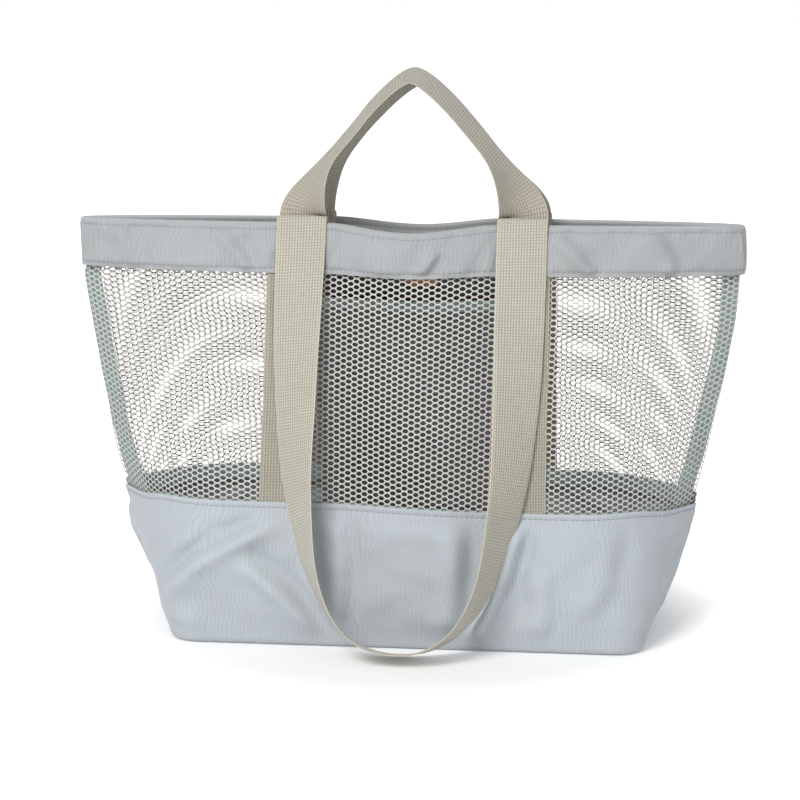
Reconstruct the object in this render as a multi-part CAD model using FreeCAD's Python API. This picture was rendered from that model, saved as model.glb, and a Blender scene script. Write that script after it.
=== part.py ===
"""Open beach bag: mesh walls on a fabric base, a folded fabric top band and four webbing handles.

Frame: origin at the middle of the bottom, on the ground; +X to the right side seam, -Y to the
front wall, +Z up. Millimetres. The front half is modelled, and the back half is the same half
turned 180 degrees about Z, apart from the pocket and the lower standing handle.
"""
import FreeCAD, Part
import math
import os

Vector = FreeCAD.Vector

# Bag body
RIM_WIDTH = 525.0            # side seam to side seam at the mouth
RIM_HEIGHT = 320.0
MOUTH_HALF_DEPTH = 23.0      # half depth of the mouth at the handles
RIM_SLACK = 15.0             # how far the rim bows out between the handles
BASE_LENGTH = 362.0
BASE_DEPTH = 168.0
BASE_CORNER_RADIUS = 20.0
SIDE_FLARE = 1.85            # how fast the side seams spread above the base
WALL_LEAN_POWER = 1.5        # how the front wall leans in towards the mouth

# Sheet goods
MESH_THICKNESS = 1.0
FABRIC_THICKNESS = 1.0
TAPE_THICKNESS = 0.8
SEWN_GAP = 0.3               # between layers that are sewn together
SIDE_SEAM_GAP = 0.4          # between the front and back walls at a side seam

# Base, band and tapes
BASE_HEIGHT = 110.0
BASE_HEM = 12.0              # how far the mesh runs down inside the base
BAND_HEIGHT = 38.0
TAPE_WIDTH = 13.0
SIDE_TAPE_INSET = 4.2        # side seam to the outer edge of its tape
SIDE_TAPE_TOP_GAP = 8.0      # rim to the top of a side seam tape
GUSSET_TAPE_INSET = 3.0
GUSSET_TAPE_END_GAP = 16.0   # base corner to the end of a gusset tape
BASE_TAPE_ANGLE = 78.0       # wall angle where the tape along the base ends, short of the side seams

# Webbing
WEBBING_WIDTH = 38.0
WEBBING_THICKNESS = 1.4
HANDLE_SPACING = 170.0       # centre to centre of a handle's two ends
LEG_SPACING = 182.0          # centre to centre of the two legs on a wall
LEG_HEM = 16.0               # leg sewn in under the base and under the band
ROOT_LENGTH = 30.0           # handle end sewn inside the band

# Short handles, which stand up
FRONT_SHORT_RISE = 109.0     # hinge to the middle of the grip
BACK_SHORT_RISE = 103.0
SHORT_HINGE_RISE = 6.0       # hinge above the fold's centre, along the wall
SHORT_SHOULDER = 1.0         # arch controls, as shares of the half spacing and of the rise
SHORT_SHOULDER_RISE = 0.26
SHORT_CROWN = 0.29
SHORT_TWIST_START = 4.0
SHORT_TWIST = 78.0           # degrees that the webbing turns from its ends to its grip
SHORT_TWIST_REACH = 50.0     # height over which it turns
HANDLE_GAP = 0.6             # between the two standing handles where they lean together
HINGE_GAP = 0.5              # root's end to the hinge

# Long handles, which hang down outside to the ground
LONG_STRAIGHT = 25.0
LONG_TWIST = 93.0            # degrees that the webbing turns down to the bottom of the loop
LONG_TWIST_POWER = 1.35      # above 1, most of it turns near the bottom
GROUND_GAP = 1.0             # loop's lowest edge to the ground
HANG_SPREAD = 1.6            # degrees that the loop hangs out from the band's slope
LONG_SHOULDER = 0.6          # loop controls, as shares of its curved height and of the half spacing
LONG_CROWN = 0.95
FOLD_GAP = 0.3               # fold to the band's edge, and to the loop that it carries

# Pocket on the inside of the back wall
POCKET_WIDTH = 168.0
POCKET_DROP = 66.0            # rim to the mouth of the pocket
POCKET_TOP = RIM_HEIGHT - POCKET_DROP
POCKET_FOOT = 78.0           # below the seam tape along the base
POCKET_SAG = 19.0            # how far the pocket's mouth stands off the wall
POCKET_SHEET_TOP_GAP = 1.0   # band's lower edge to the backing sheet
BINDING_HEIGHT = 9.0
TAB_WIDTH = 28.0
TAB_HEIGHT = 17.0

# How finely the curved walls are drawn
WALL_STEPS = 48              # points across a wall
POCKET_STEPS = 16            # points across the pocket
STRIP_STEPS = 4              # points across a strip of webbing
ANGLE_STEP = 0.05            # degrees, for the wall's direction at a point
SECTION_PITCH = 28.0         # greatest height between two sections
LOOP_STEPS = 14              # sections along each half of a loop's curve
STRAIGHT_STEPS = 8           # sections along a loop's straight ends

# Layers over the wall's middle surface: positive is outwards
MESH_LAYER = (-MESH_THICKNESS, 0.0)
LEG_LAYER = (SEWN_GAP, SEWN_GAP + WEBBING_THICKNESS)
COVER_LAYER = (LEG_LAYER[1] + SEWN_GAP, LEG_LAYER[1] + SEWN_GAP + FABRIC_THICKNESS)
LINING_TOP = -MESH_THICKNESS - SEWN_GAP
BAND_LINING_LAYER = (LINING_TOP - FABRIC_THICKNESS, LINING_TOP)
TAPE_LAYER = (LINING_TOP - TAPE_THICKNESS, LINING_TOP)
POCKET_SHEET_TOP = TAPE_LAYER[0] - SEWN_GAP
POCKET_SHEET_LAYER = (POCKET_SHEET_TOP - FABRIC_THICKNESS, POCKET_SHEET_TOP)
POCKET_TOP_LAYER = POCKET_SHEET_LAYER[0] - SEWN_GAP
POCKET_FRONT_LAYER = (POCKET_TOP_LAYER - FABRIC_THICKNESS, POCKET_TOP_LAYER)
BINDING_LAYER = (POCKET_FRONT_LAYER[0] - SEWN_GAP - TAPE_THICKNESS, POCKET_FRONT_LAYER[0] - SEWN_GAP)

HALF_SPACING = HANDLE_SPACING / 2
WEBBING_INNER = HALF_SPACING - WEBBING_WIDTH / 2
WEBBING_OUTER = HALF_SPACING + WEBBING_WIDTH / 2


# ---------------------------------------------------------------- the wall's middle surface

def rim_point(u):
    """Plan of the front rim at u, from -1 at the left side seam to 1 at the right one."""
    x = RIM_WIDTH / 2 * u
    handle_u = HANDLE_SPACING / RIM_WIDTH
    depth = MOUTH_HALF_DEPTH * math.sqrt((1 - u * u) / (1 - handle_u * handle_u))
    if abs(x) < WEBBING_INNER:
        depth += RIM_SLACK * (1 - (x / WEBBING_INNER) ** 2) ** 2
    return x, -depth


def base_point(u):
    """Plan of the front half of the base at u, measured along the edge."""
    half_length = BASE_LENGTH / 2
    half_depth = BASE_DEPTH / 2
    straight = half_length - BASE_CORNER_RADIUS
    arc = BASE_CORNER_RADIUS * math.pi / 2
    run = abs(u) * (straight + arc + half_depth - BASE_CORNER_RADIUS)
    side = math.copysign(1.0, u)
    if run < straight:
        return side * run, -half_depth
    if run < straight + arc:
        turn = (run - straight) / BASE_CORNER_RADIUS
        x = straight + BASE_CORNER_RADIUS * math.sin(turn)
        return side * x, -half_depth + BASE_CORNER_RADIUS * (1 - math.cos(turn))
    return side * half_length, -half_depth + BASE_CORNER_RADIUS + run - straight - arc


def wall_plan(u, z):
    """Plan point of the front wall's middle surface at height z."""
    height = z / RIM_HEIGHT
    base_share_x = (1 - height) ** SIDE_FLARE
    base_share_y = 1 - height ** WALL_LEAN_POWER
    rim_x, rim_y = rim_point(u)
    base_x, base_y = base_point(u)
    x = rim_x * (1 - base_share_x) + base_x * base_share_x
    y = rim_y * (1 - base_share_y) + base_y * base_share_y
    return x, y - SIDE_SEAM_GAP / 2


def wall_point(angle, z, offset):
    """Point at an offset outwards from the front wall; angle runs from -90 to 90 degrees."""
    x, y = wall_plan(math.sin(math.radians(angle)), z)
    left = wall_plan(math.sin(math.radians(max(angle - ANGLE_STEP, -90.0))), z)
    right = wall_plan(math.sin(math.radians(min(angle + ANGLE_STEP, 90.0))), z)
    along_x = right[0] - left[0]
    along_y = right[1] - left[1]
    if abs(angle) == 90.0:
        along_x = 0.0
    length = math.hypot(along_x, along_y)
    return Vector(x + offset * along_y / length, y - offset * along_x / length, z)


def angle_at(x, z):
    """Wall angle whose point lies at x, for a point on the front wall at height z."""
    low = -90.0
    high = 90.0
    while high - low > 1e-6:
        middle = (low + high) / 2
        if wall_plan(math.sin(math.radians(middle)), z)[0] < x:
            low = middle
        else:
            high = middle
    return low


def section_heights(bottom, top):
    count = max(2, math.ceil((top - bottom) / SECTION_PITCH))
    return [bottom + (top - bottom) * i / count for i in range(count + 1)]


def spline(points):
    curve = Part.BSplineCurve()
    curve.interpolate(points)
    return curve.toShape()


def layer(edges_at, bottom, top, offsets, steps=WALL_STEPS, sag=None):
    """Sheet on the front wall between two heights and the two wall angles of edges_at(z)."""
    wires = []
    for z in section_heights(bottom, top):
        first, last = edges_at(z)
        angles = [first + (last - first) * i / steps for i in range(steps + 1)]
        rows = []
        for offset in offsets:
            extra = [sag(a, z) if sag else 0.0 for a in angles]
            rows.append([wall_point(a, z, offset - e) for a, e in zip(angles, extra)])
        inner, outer = rows
        wires.append(Part.Wire([
            spline(outer),
            Part.LineSegment(outer[-1], inner[-1]).toShape(),
            spline(inner[::-1]),
            Part.LineSegment(inner[0], outer[0]).toShape(),
        ]))
    return Part.makeLoft(wires, True, False)


def seam_to_seam(z):
    return -90.0, 90.0


def between(x_from, x_to):
    """Edges of a sheet that runs between two values of x."""
    def edges(z):
        return angle_at(x_from, z), angle_at(x_to, z)
    return edges


def turned(shape):
    """The same piece on the back half."""
    copy = shape.copy()
    copy.rotate(Vector(0, 0, 0), Vector(0, 0, 1), 180)
    return copy


# ---------------------------------------------------------------- walls, base and band

def mesh_panel():
    top = RIM_HEIGHT - FABRIC_THICKNESS - SEWN_GAP
    return layer(seam_to_seam, BASE_HEIGHT - BASE_HEM, top, MESH_LAYER)


def base_panel():
    return layer(seam_to_seam, 0.0, BASE_HEIGHT, COVER_LAYER)


def bottom_panel():
    """Flat panel inside the foot of the base walls."""
    edge = COVER_LAYER[0] - SEWN_GAP
    angles = [-90.0 + 180.0 * i / WALL_STEPS for i in range(WALL_STEPS + 1)]
    front = [wall_point(a, 0.0, edge) for a in angles]
    back = [Vector(-p.x, -p.y, p.z) for p in front]
    outline = Part.Wire([
        spline(front),
        Part.LineSegment(front[-1], back[0]).toShape(),
        spline(back),
        Part.LineSegment(back[-1], front[0]).toShape(),
    ])
    return Part.Face(outline).extrude(Vector(0, 0, FABRIC_THICKNESS))


def top_band():
    """Fabric folded over the mesh's top edge, with the webbing legs under its outside."""
    lower = RIM_HEIGHT - BAND_HEIGHT
    whole = layer(seam_to_seam, lower, RIM_HEIGHT, (BAND_LINING_LAYER[0], COVER_LAYER[1]))
    inside = (BAND_LINING_LAYER[1], COVER_LAYER[0])
    slot = layer(seam_to_seam, lower, RIM_HEIGHT - FABRIC_THICKNESS, inside)
    return whole.cut(slot)


def webbing_leg(side):
    """Webbing sewn on the mesh from under the base's edge to under the band."""
    inner = (LEG_SPACING - WEBBING_WIDTH) / 2
    first, last = sorted((side * inner, side * (inner + WEBBING_WIDTH)))
    top = RIM_HEIGHT - BAND_HEIGHT + LEG_HEM
    return layer(between(first, last), BASE_HEIGHT - LEG_HEM, top, LEG_LAYER, STRIP_STEPS)


def side_seam_tape(side):
    """Bound seam allowance that stands inwards from a side seam."""
    half = TAPE_THICKNESS
    wires = []
    for z in section_heights(FABRIC_THICKNESS + 2 * TAPE_THICKNESS, RIM_HEIGHT - SIDE_TAPE_TOP_GAP):
        outer = wall_plan(1.0, z)[0] - SIDE_TAPE_INSET
        inner = outer - TAPE_WIDTH
        corners = [Vector(side * x, y, z) for x, y in
                   ((inner, -half), (outer, -half), (outer, half), (inner, half))]
        wires.append(Part.makePolygon(corners + corners[:1]))
    return Part.makeLoft(wires, True, False)


def base_seam_tape():
    """Tape along the inside of the seam between the base and the mesh."""
    middle = BASE_HEIGHT - BASE_HEM / 2

    def edges(z):
        return -BASE_TAPE_ANGLE, BASE_TAPE_ANGLE
    return layer(edges, middle - TAPE_WIDTH / 2, middle + TAPE_WIDTH / 2, TAPE_LAYER)


def gusset_seam_tape(side):
    """Tape on the seam that boxes the bottom's end."""
    outer = BASE_LENGTH / 2 - GUSSET_TAPE_INSET
    half_run = BASE_DEPTH / 2 - GUSSET_TAPE_END_GAP
    floor = FABRIC_THICKNESS + SEWN_GAP / 2
    corner = Vector(outer - TAPE_WIDTH, -half_run, floor)
    tape = Part.makeBox(TAPE_WIDTH, 2 * half_run, TAPE_THICKNESS, corner)
    return tape if side > 0 else turned(tape)


# ---------------------------------------------------------------- pocket

def pocket_sag(angle, z):
    """How far the pocket's front stands off the wall: most at the middle of its mouth."""
    x = wall_plan(math.sin(math.radians(angle)), z)[0]
    across = math.cos(math.pi * x / POCKET_WIDTH) ** 2
    up = (z - POCKET_FOOT) / (POCKET_TOP - POCKET_FOOT)
    return POCKET_SAG * across * up


def pocket_back_sheet():
    edges = between(-POCKET_WIDTH / 2, POCKET_WIDTH / 2)
    top = RIM_HEIGHT - BAND_HEIGHT - POCKET_SHEET_TOP_GAP
    return layer(edges, POCKET_FOOT, top, POCKET_SHEET_LAYER, POCKET_STEPS)


def pocket_front_sheet():
    edges = between(-POCKET_WIDTH / 2, POCKET_WIDTH / 2)
    return layer(edges, POCKET_FOOT, POCKET_TOP, POCKET_FRONT_LAYER, POCKET_STEPS, pocket_sag)


def pocket_edge_binding():
    edges = between(-POCKET_WIDTH / 2, POCKET_WIDTH / 2)
    return layer(edges, POCKET_TOP - BINDING_HEIGHT, POCKET_TOP, BINDING_LAYER, POCKET_STEPS, pocket_sag)


def inner_tab():
    """Plain tab that hangs below the band in front of the pocket's backing sheet."""
    edges = between(-TAB_WIDTH / 2, TAB_WIDTH / 2)
    top = RIM_HEIGHT - BAND_HEIGHT - POCKET_SHEET_TOP_GAP
    return layer(edges, top - TAB_HEIGHT, top, POCKET_FRONT_LAYER, STRIP_STEPS)


# ---------------------------------------------------------------- handles

def wall_lean():
    """Angle from upright of the wall under a handle, behind the band."""
    u = HANDLE_SPACING / RIM_WIDTH
    run = wall_plan(u, RIM_HEIGHT)[1] - wall_plan(u, RIM_HEIGHT - BAND_HEIGHT)[1]
    return math.atan2(run, BAND_HEIGHT)


def band_faces():
    """The y of the band's outermost and innermost faces across a handle's width, at the rim."""
    values = []
    for x in (WEBBING_INNER, HALF_SPACING, WEBBING_OUTER):
        values.append(wall_plan(x / (RIM_WIDTH / 2), RIM_HEIGHT)[1])
    return min(values) - COVER_LAYER[1], max(values) - BAND_LINING_LAYER[0]


LEAN = wall_lean()
BAND_OUTSIDE, BAND_INSIDE = band_faces()
FOLD_INNER_RADIUS = (BAND_INSIDE - BAND_OUTSIDE) / 2 + FOLD_GAP
FOLD_RADIUS = FOLD_INNER_RADIUS + WEBBING_THICKNESS / 2
FOLD_Y = (BAND_INSIDE + BAND_OUTSIDE) / 2
FOLD_Z = RIM_HEIGHT
HANG = math.radians(HANG_SPREAD)


def fold_frame_point(outwards, up):
    """Point in the leaning frame at the fold's centre, as (y, z)."""
    y = FOLD_Y - outwards * math.cos(LEAN) + up * math.sin(LEAN)
    return y, FOLD_Z + outwards * math.sin(LEAN) + up * math.cos(LEAN)


def plate(profile, x_middle):
    """Profile in the (y, z) plane, given as edges, made one webbing width wide."""
    face = Part.Face(Part.Wire(profile))
    face.translate(Vector(x_middle - WEBBING_WIDTH / 2, 0, 0))
    return face.extrude(Vector(WEBBING_WIDTH, 0, 0))


def yz(point):
    return Vector(0, point[0], point[1])


def long_handle_fold(side):
    """End of a long handle: sewn inside the band, and folded over the rim to the outside."""
    inner = FOLD_INNER_RADIUS
    outer = inner + WEBBING_THICKNESS
    root_inner = yz(fold_frame_point(-inner, 0))
    root_outer = yz(fold_frame_point(-outer, 0))
    foot_inner = yz(fold_frame_point(-inner, -ROOT_LENGTH))
    foot_outer = yz(fold_frame_point(-outer, -ROOT_LENGTH))
    front_inner = yz(fold_frame_point(inner * math.cos(HANG), inner * math.sin(HANG)))
    front_outer = yz(fold_frame_point(outer * math.cos(HANG), outer * math.sin(HANG)))
    profile = [
        Part.LineSegment(foot_inner, root_inner).toShape(),
        Part.Arc(root_inner, yz(fold_frame_point(0, inner)), front_inner).toShape(),
        Part.LineSegment(front_inner, front_outer).toShape(),
        Part.Arc(front_outer, yz(fold_frame_point(0, outer)), root_outer).toShape(),
        Part.LineSegment(root_outer, foot_outer).toShape(),
        Part.LineSegment(foot_outer, foot_inner).toShape(),
    ]
    return plate(profile, side * HALF_SPACING)


SHORT_OFFSET = FOLD_INNER_RADIUS + WEBBING_THICKNESS + FOLD_GAP + WEBBING_THICKNESS / 2
SHORT_HINGE = fold_frame_point(-SHORT_OFFSET, SHORT_HINGE_RISE)


def short_handle_root(side):
    """End of a short handle, sewn inside the band behind the long handle's end."""
    near = -SHORT_OFFSET + WEBBING_THICKNESS / 2
    far = -SHORT_OFFSET - WEBBING_THICKNESS / 2
    top = SHORT_HINGE_RISE - HINGE_GAP
    corners = [(near, -ROOT_LENGTH), (near, top), (far, top), (far, -ROOT_LENGTH)]
    points = [yz(fold_frame_point(*corner)) for corner in corners]
    profile = [Part.LineSegment(a, b).toShape() for a, b in zip(points, points[1:] + points[:1])]
    return plate(profile, side * HALF_SPACING)


def bezier(p0, p1, p2, p3, t):
    s = 1 - t
    weights = (s ** 3, 3 * s * s * t, 3 * s * t * t, t ** 3)
    return tuple(sum(w * p[i] for w, p in zip(weights, (p0, p1, p2, p3))) for i in range(2))


def half_loop(start, straight, shoulder, crown, end):
    """Middle line of half a loop, from its end up to its crown, as (x, height) points."""
    foot = (HALF_SPACING, start)
    points = []
    if straight > start:
        for i in range(STRAIGHT_STEPS):
            points.append((HALF_SPACING, start + (straight - start) * i / STRAIGHT_STEPS))
        foot = (HALF_SPACING, straight)
    for i in range(LOOP_STEPS + 1):
        points.append(bezier(foot, shoulder, crown, (0.0, end), i / LOOP_STEPS))
    return points


def ribbon_sections(half, origin, up, front, turn_at):
    """Corners of the webbing's section along a half line and its mirror, in the plane of X and up.

    Its face looks to the front at the ends, and turns by turn_at(height) radians towards the
    outside of the loop.
    """
    line = half + [(-x, h) for x, h in half[-2::-1]]
    sections = []
    for i, (x, height) in enumerate(line):
        before = line[max(i - 1, 0)]
        after = line[min(i + 1, len(line) - 1)]
        step_x = after[0] - before[0] if 0 < i < len(line) - 1 else 0.0
        step_up = after[1] - before[1]
        run = (Vector(step_x, 0, 0) + up * step_up).normalize()
        outwards = (Vector(step_up, 0, 0) - up * step_x).normalize()
        turn = turn_at(height)
        face = front * math.cos(turn) + outwards * math.sin(turn)
        across = run.cross(face)
        middle = origin + Vector(x, 0, 0) + up * height
        corners = []
        for a, b in ((-1, -1), (1, -1), (1, 1), (-1, 1)):
            corners.append(middle + across * (a * WEBBING_WIDTH / 2) + face * (b * WEBBING_THICKNESS / 2))
        sections.append(corners)
    return sections


def ribbon(half, origin, up, front, turn_at):
    """Webbing loop through those sections."""
    sections = ribbon_sections(half, origin, up, front, turn_at)
    return Part.makeLoft([Part.makePolygon(corners + corners[:1]) for corners in sections], True, False)


def short_turn(height):
    share = min(max((height - SHORT_TWIST_START) / SHORT_TWIST_REACH, 0.0), 1.0)
    return math.radians(SHORT_TWIST) * share * share * (3 - 2 * share)


def short_handle(rise):
    """Standing loop that leans until its grip meets the other one over the middle of the mouth."""
    half = half_loop(
        0.0, 0.0, (HALF_SPACING * SHORT_SHOULDER, rise * SHORT_SHOULDER_RISE),
        (HALF_SPACING * SHORT_CROWN, rise), rise)
    upright = ribbon_sections(half, Vector(0, 0, 0), Vector(0, 0, 1), Vector(0, -1, 0), short_turn)
    room = -SHORT_HINGE[0] - HANDLE_GAP / 2
    leans = []
    for corner in sum(upright, []):
        reach = math.hypot(corner.y, corner.z)
        if reach > room:
            leans.append(math.asin(room / reach) - math.atan2(corner.y, corner.z))
    lean = min(leans)
    up = Vector(0, math.sin(lean), math.cos(lean))
    front = Vector(0, -math.cos(lean), math.sin(lean))
    return ribbon(half, yz(SHORT_HINGE), up, front, short_turn)


def long_handle():
    """Loop that hangs over the rim, along the leaning wall, down to the ground."""
    start_y, start_z = fold_frame_point(FOLD_RADIUS * math.cos(HANG), FOLD_RADIUS * math.sin(HANG))
    lean = LEAN + HANG
    tilt = math.radians(LONG_TWIST) - lean
    edge = WEBBING_WIDTH / 2 * math.cos(tilt) + WEBBING_THICKNESS / 2 * math.sin(tilt)
    drop = (start_z - GROUND_GAP - edge) / math.cos(lean)

    def long_turn(depth):
        return math.radians(LONG_TWIST) * (depth / drop) ** LONG_TWIST_POWER

    shoulder = LONG_STRAIGHT + (drop - LONG_STRAIGHT) * LONG_SHOULDER
    half = half_loop(
        FOLD_GAP, LONG_STRAIGHT, (HALF_SPACING, shoulder), (HALF_SPACING * LONG_CROWN, drop), drop)
    down = Vector(0, -math.sin(lean), -math.cos(lean))
    front = Vector(0, -math.cos(lean), math.sin(lean))
    start = Vector(0, start_y, start_z)
    return ribbon(half, start, down, front, long_turn)


# ---------------------------------------------------------------- writing the pieces

def write(name, shape):
    shape.exportStep("parts/" + name + ".step")
    print(name, "solids", len(shape.Solids), "valid", shape.isValid(), "volume", round(shape.Volume, 1))


def write_pair(name, front):
    """The same piece on the front and on the back."""
    write("front_" + name, front)
    write("back_" + name, turned(front))


def main():
    os.makedirs("parts", exist_ok=True)
    write_pair("mesh_panel", mesh_panel())
    write_pair("base_panel", base_panel())
    write("bottom_panel", bottom_panel())
    write_pair("top_band", top_band())
    write_pair("base_seam_tape", base_seam_tape())
    for side, side_name in ((-1, "left"), (1, "right")):
        write(side_name + "_side_seam_tape", side_seam_tape(side))
        write(side_name + "_gusset_seam_tape", gusset_seam_tape(side))
        write("front_" + side_name + "_webbing_leg", webbing_leg(side))
        write("back_" + side_name + "_webbing_leg", turned(webbing_leg(-side)))
    write("pocket_back_sheet", turned(pocket_back_sheet()))
    write("pocket_front_sheet", turned(pocket_front_sheet()))
    write("pocket_edge_binding", turned(pocket_edge_binding()))
    write("inner_tab", turned(inner_tab()))
    write_pair("short_handle_roots", Part.makeCompound([short_handle_root(side) for side in (-1, 1)]))
    write_pair("long_handle_folds", Part.makeCompound([long_handle_fold(side) for side in (-1, 1)]))
    write("front_short_handle", short_handle(FRONT_SHORT_RISE))
    write("back_short_handle", turned(short_handle(BACK_SHORT_RISE)))
    write_pair("long_handle", long_handle())
    print("lean", round(math.degrees(LEAN), 3), "fold", round(FOLD_Y, 3), FOLD_Z, "r", round(FOLD_RADIUS, 3))
    print("short hinge", [round(value, 3) for value in SHORT_HINGE])


main()
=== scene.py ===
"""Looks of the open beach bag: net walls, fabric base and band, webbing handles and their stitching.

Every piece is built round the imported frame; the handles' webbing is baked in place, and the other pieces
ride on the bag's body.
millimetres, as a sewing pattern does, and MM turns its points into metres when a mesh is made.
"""

import math
from types import SimpleNamespace

import bpy
import numpy as np
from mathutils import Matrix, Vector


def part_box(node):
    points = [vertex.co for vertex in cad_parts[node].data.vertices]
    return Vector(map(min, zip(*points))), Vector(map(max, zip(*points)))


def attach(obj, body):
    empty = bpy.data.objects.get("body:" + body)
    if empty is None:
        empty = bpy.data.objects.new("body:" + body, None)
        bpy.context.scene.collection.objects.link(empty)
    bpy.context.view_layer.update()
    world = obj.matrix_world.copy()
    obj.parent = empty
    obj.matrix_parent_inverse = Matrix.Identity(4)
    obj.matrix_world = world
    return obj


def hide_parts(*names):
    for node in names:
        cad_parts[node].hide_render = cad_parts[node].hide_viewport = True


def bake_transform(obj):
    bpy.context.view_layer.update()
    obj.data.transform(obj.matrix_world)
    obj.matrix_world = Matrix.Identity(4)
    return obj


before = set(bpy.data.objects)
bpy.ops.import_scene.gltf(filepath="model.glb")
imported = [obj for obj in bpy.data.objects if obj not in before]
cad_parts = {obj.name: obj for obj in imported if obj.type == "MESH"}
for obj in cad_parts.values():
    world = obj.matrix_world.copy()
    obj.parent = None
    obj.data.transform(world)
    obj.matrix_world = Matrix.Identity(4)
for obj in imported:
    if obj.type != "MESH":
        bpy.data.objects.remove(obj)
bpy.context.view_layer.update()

bl_info = {
    "name": "Beach bag looks",
    "version": (1, 0, 0),
    "blender": (4, 5, 0),
    "location": "3D View > Sidebar > Beach Bag",
    "description": "Net walls, fabric base and band, webbing handles and stitching of an open beach bag",
    "category": "Object",
}

MM = 0.001


def node_box(name):
    """Lowest and highest corner of a node of the frame, as arrays in metres."""
    low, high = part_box(name)
    return np.array(low), np.array(high)


BAND_LOW, BAND_HIGH = node_box("front_top_band")
BASE_HIGH = node_box("front_base_panel")[1]
LEG_LOW, LEG_HIGH = node_box("front_left_webbing_leg")
POCKET_LOW, POCKET_HIGH = node_box("pocket_front_sheet")
BINDING_LOW, BINDING_HIGH = node_box("pocket_edge_binding")
TAB_LOW, TAB_HIGH = node_box("inner_tab")
TAPE_LOW, TAPE_HIGH = node_box("front_base_seam_tape")

# Layers over the wall's middle surface in millimetres, positive outwards, as the frame has them
NET_MIDDLE = -0.5
LEG_FOOT = 0.3
COVER_TOP = 3.0
LINING_TOP = -1.3
LINING_FOOT = -2.3
POCKET_BACK_TOP = -2.4
POCKET_FRONT_TOP = -3.7
BINDING_TOP = -5.0
SIDE_SEAM_GAP = 0.4
HALF_RIM = 262.5
CLOTH = 0.75
BAND_CLOTH = 0.7
HEM_ROW = 4.0
RIM_ROW = 5.0
BASE_FOOT_RADIUS = 6.0

SIDES = (("front", False), ("back", True))


# ---------------------------------------------------------------- sizes and colours

def length(name, description, default):
    """A size that a user may change, in metres."""
    return bpy.props.FloatProperty(
        name=name, description=description, default=float(default), min=0.0, precision=4,
        unit="LENGTH", subtype="DISTANCE")


def srgb(red, green, blue):
    """Linear colour of an 8-bit screen colour."""
    parts = np.array([red, green, blue]) / 255.0
    linear = np.where(parts <= 0.04045, parts / 12.92, ((parts + 0.055) / 1.055) ** 2.4)
    return tuple(float(part) for part in linear)


def colour(name, description, default):
    """A finish's colour that a user may change."""
    return bpy.props.FloatVectorProperty(
        name=name, description=description, default=default, min=0.0, max=1.0, size=3, subtype="COLOR")


class BeachBagSizes(bpy.types.PropertyGroup):
    """Sizes of the bag, taken from the frame where it shows them."""
    rim_width: length("Rim width", "Side seam to side seam at the mouth", 0.525)
    rim_height: length("Rim height", "Ground to the rim", BAND_HIGH[2])
    mouth_half_depth: length("Mouth half depth", "Half depth of the mouth at the handles", 0.023)
    rim_slack: length("Rim slack", "How far the rim bows out between the handles", 0.015)
    base_length: length("Base length", "Length of the bottom", 0.362)
    base_depth: length("Base depth", "Depth of the bottom", 0.168)
    base_corner: length("Base corner", "Corner radius of the bottom", 0.020)
    base_height: length("Base height", "Height of the fabric base", BASE_HIGH[2])
    band_height: length("Band height", "Height of the fabric band", BAND_HIGH[2] - BAND_LOW[2])
    handle_spacing: length("Handle spacing", "Between the middles of a handle's two ends", 0.170)
    leg_spacing: length("Leg spacing", "Between the middles of a wall's two legs", 0.182)
    webbing_width: length("Webbing width", "Width of the handles and legs", LEG_HIGH[0] - LEG_LOW[0])
    webbing_thickness: length("Webbing thickness", "Thickness of the handles and legs", 0.0014)
    front_grip_rise: length("Front grip rise", "Hinge to the middle of the front grip", 0.109)
    back_grip_rise: length("Back grip rise", "Hinge to the middle of the back grip", 0.103)
    hole_width: length("Hole width", "Tip to tip of one cell of the net", 0.00608)
    hole_height: length("Hole height", "Row to row of the net's cells", 0.0043)
    tape_width: length("Tape width", "Width of the seam tapes", TAPE_HIGH[2] - TAPE_LOW[2])
    stitch_pitch: length("Stitch pitch", "From one stitch to the next", 0.0040)
    stitch_length: length("Stitch length", "Thread that shows in one stitch", 0.0031)
    thread: length("Thread", "Thickness of the thread", 0.0006)


class BeachBagColours(bpy.types.PropertyGroup):
    """Colours of the bag's finishes."""
    base: colour("Base fabric", "Pale grey fabric of the base", srgb(183, 189, 194))
    band: colour("Band fabric", "Fabric of the top band", srgb(168, 170, 171))
    webbing: colour("Webbing", "Natural cream webbing", srgb(190, 184, 168))
    # Darker copy of the webbing colour: painted shade on the standing handles.
    standing_webbing_in_painted_shade: colour("Standing webbing", "Webbing of the standing handles", srgb(177, 170, 154))
    # Darker copy of the webbing colour: painted shade on the legs, which lie in the long handles' shade.
    leg_webbing_in_painted_shade: colour("Leg webbing", "Webbing sewn up the walls", srgb(168, 162, 147))
    net: colour("Net", "Yarn of the front net", srgb(204, 200, 193))
    # Darker than the front net's yarn: painted shade on the back net inside the bag.
    back_net: colour("Back net", "Yarn of the back net", srgb(168, 162, 152))
    tape: colour("Seam tape", "Teal-grey binding tape", srgb(162, 184, 184))
    # The pocket's pale grey-blue fabric darkened as painted shade inside the bag.
    pocket: colour("Pocket", "Dark grey pocket fabric", srgb(112, 115, 118))
    # Near-black sheet behind the pocket: painted shade under the band and inside the pocket.
    pocket_back: colour("Pocket back", "Darker sheet behind the pocket", srgb(52, 54, 57))
    tab: colour("Tab", "Brown tab", srgb(134, 92, 62))


def pattern():
    """The sizes in millimetres."""
    group = bpy.context.scene.beach_bag_sizes
    return SimpleNamespace(**{name: getattr(group, name) / MM for name in BeachBagSizes.__annotations__})


# ---------------------------------------------------------------- numbers that shape cloth

def smooth(value):
    """Smooth step from 0 to 1."""
    share = np.clip(value, 0.0, 1.0)
    return share * share * (3.0 - 2.0 * share)


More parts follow.
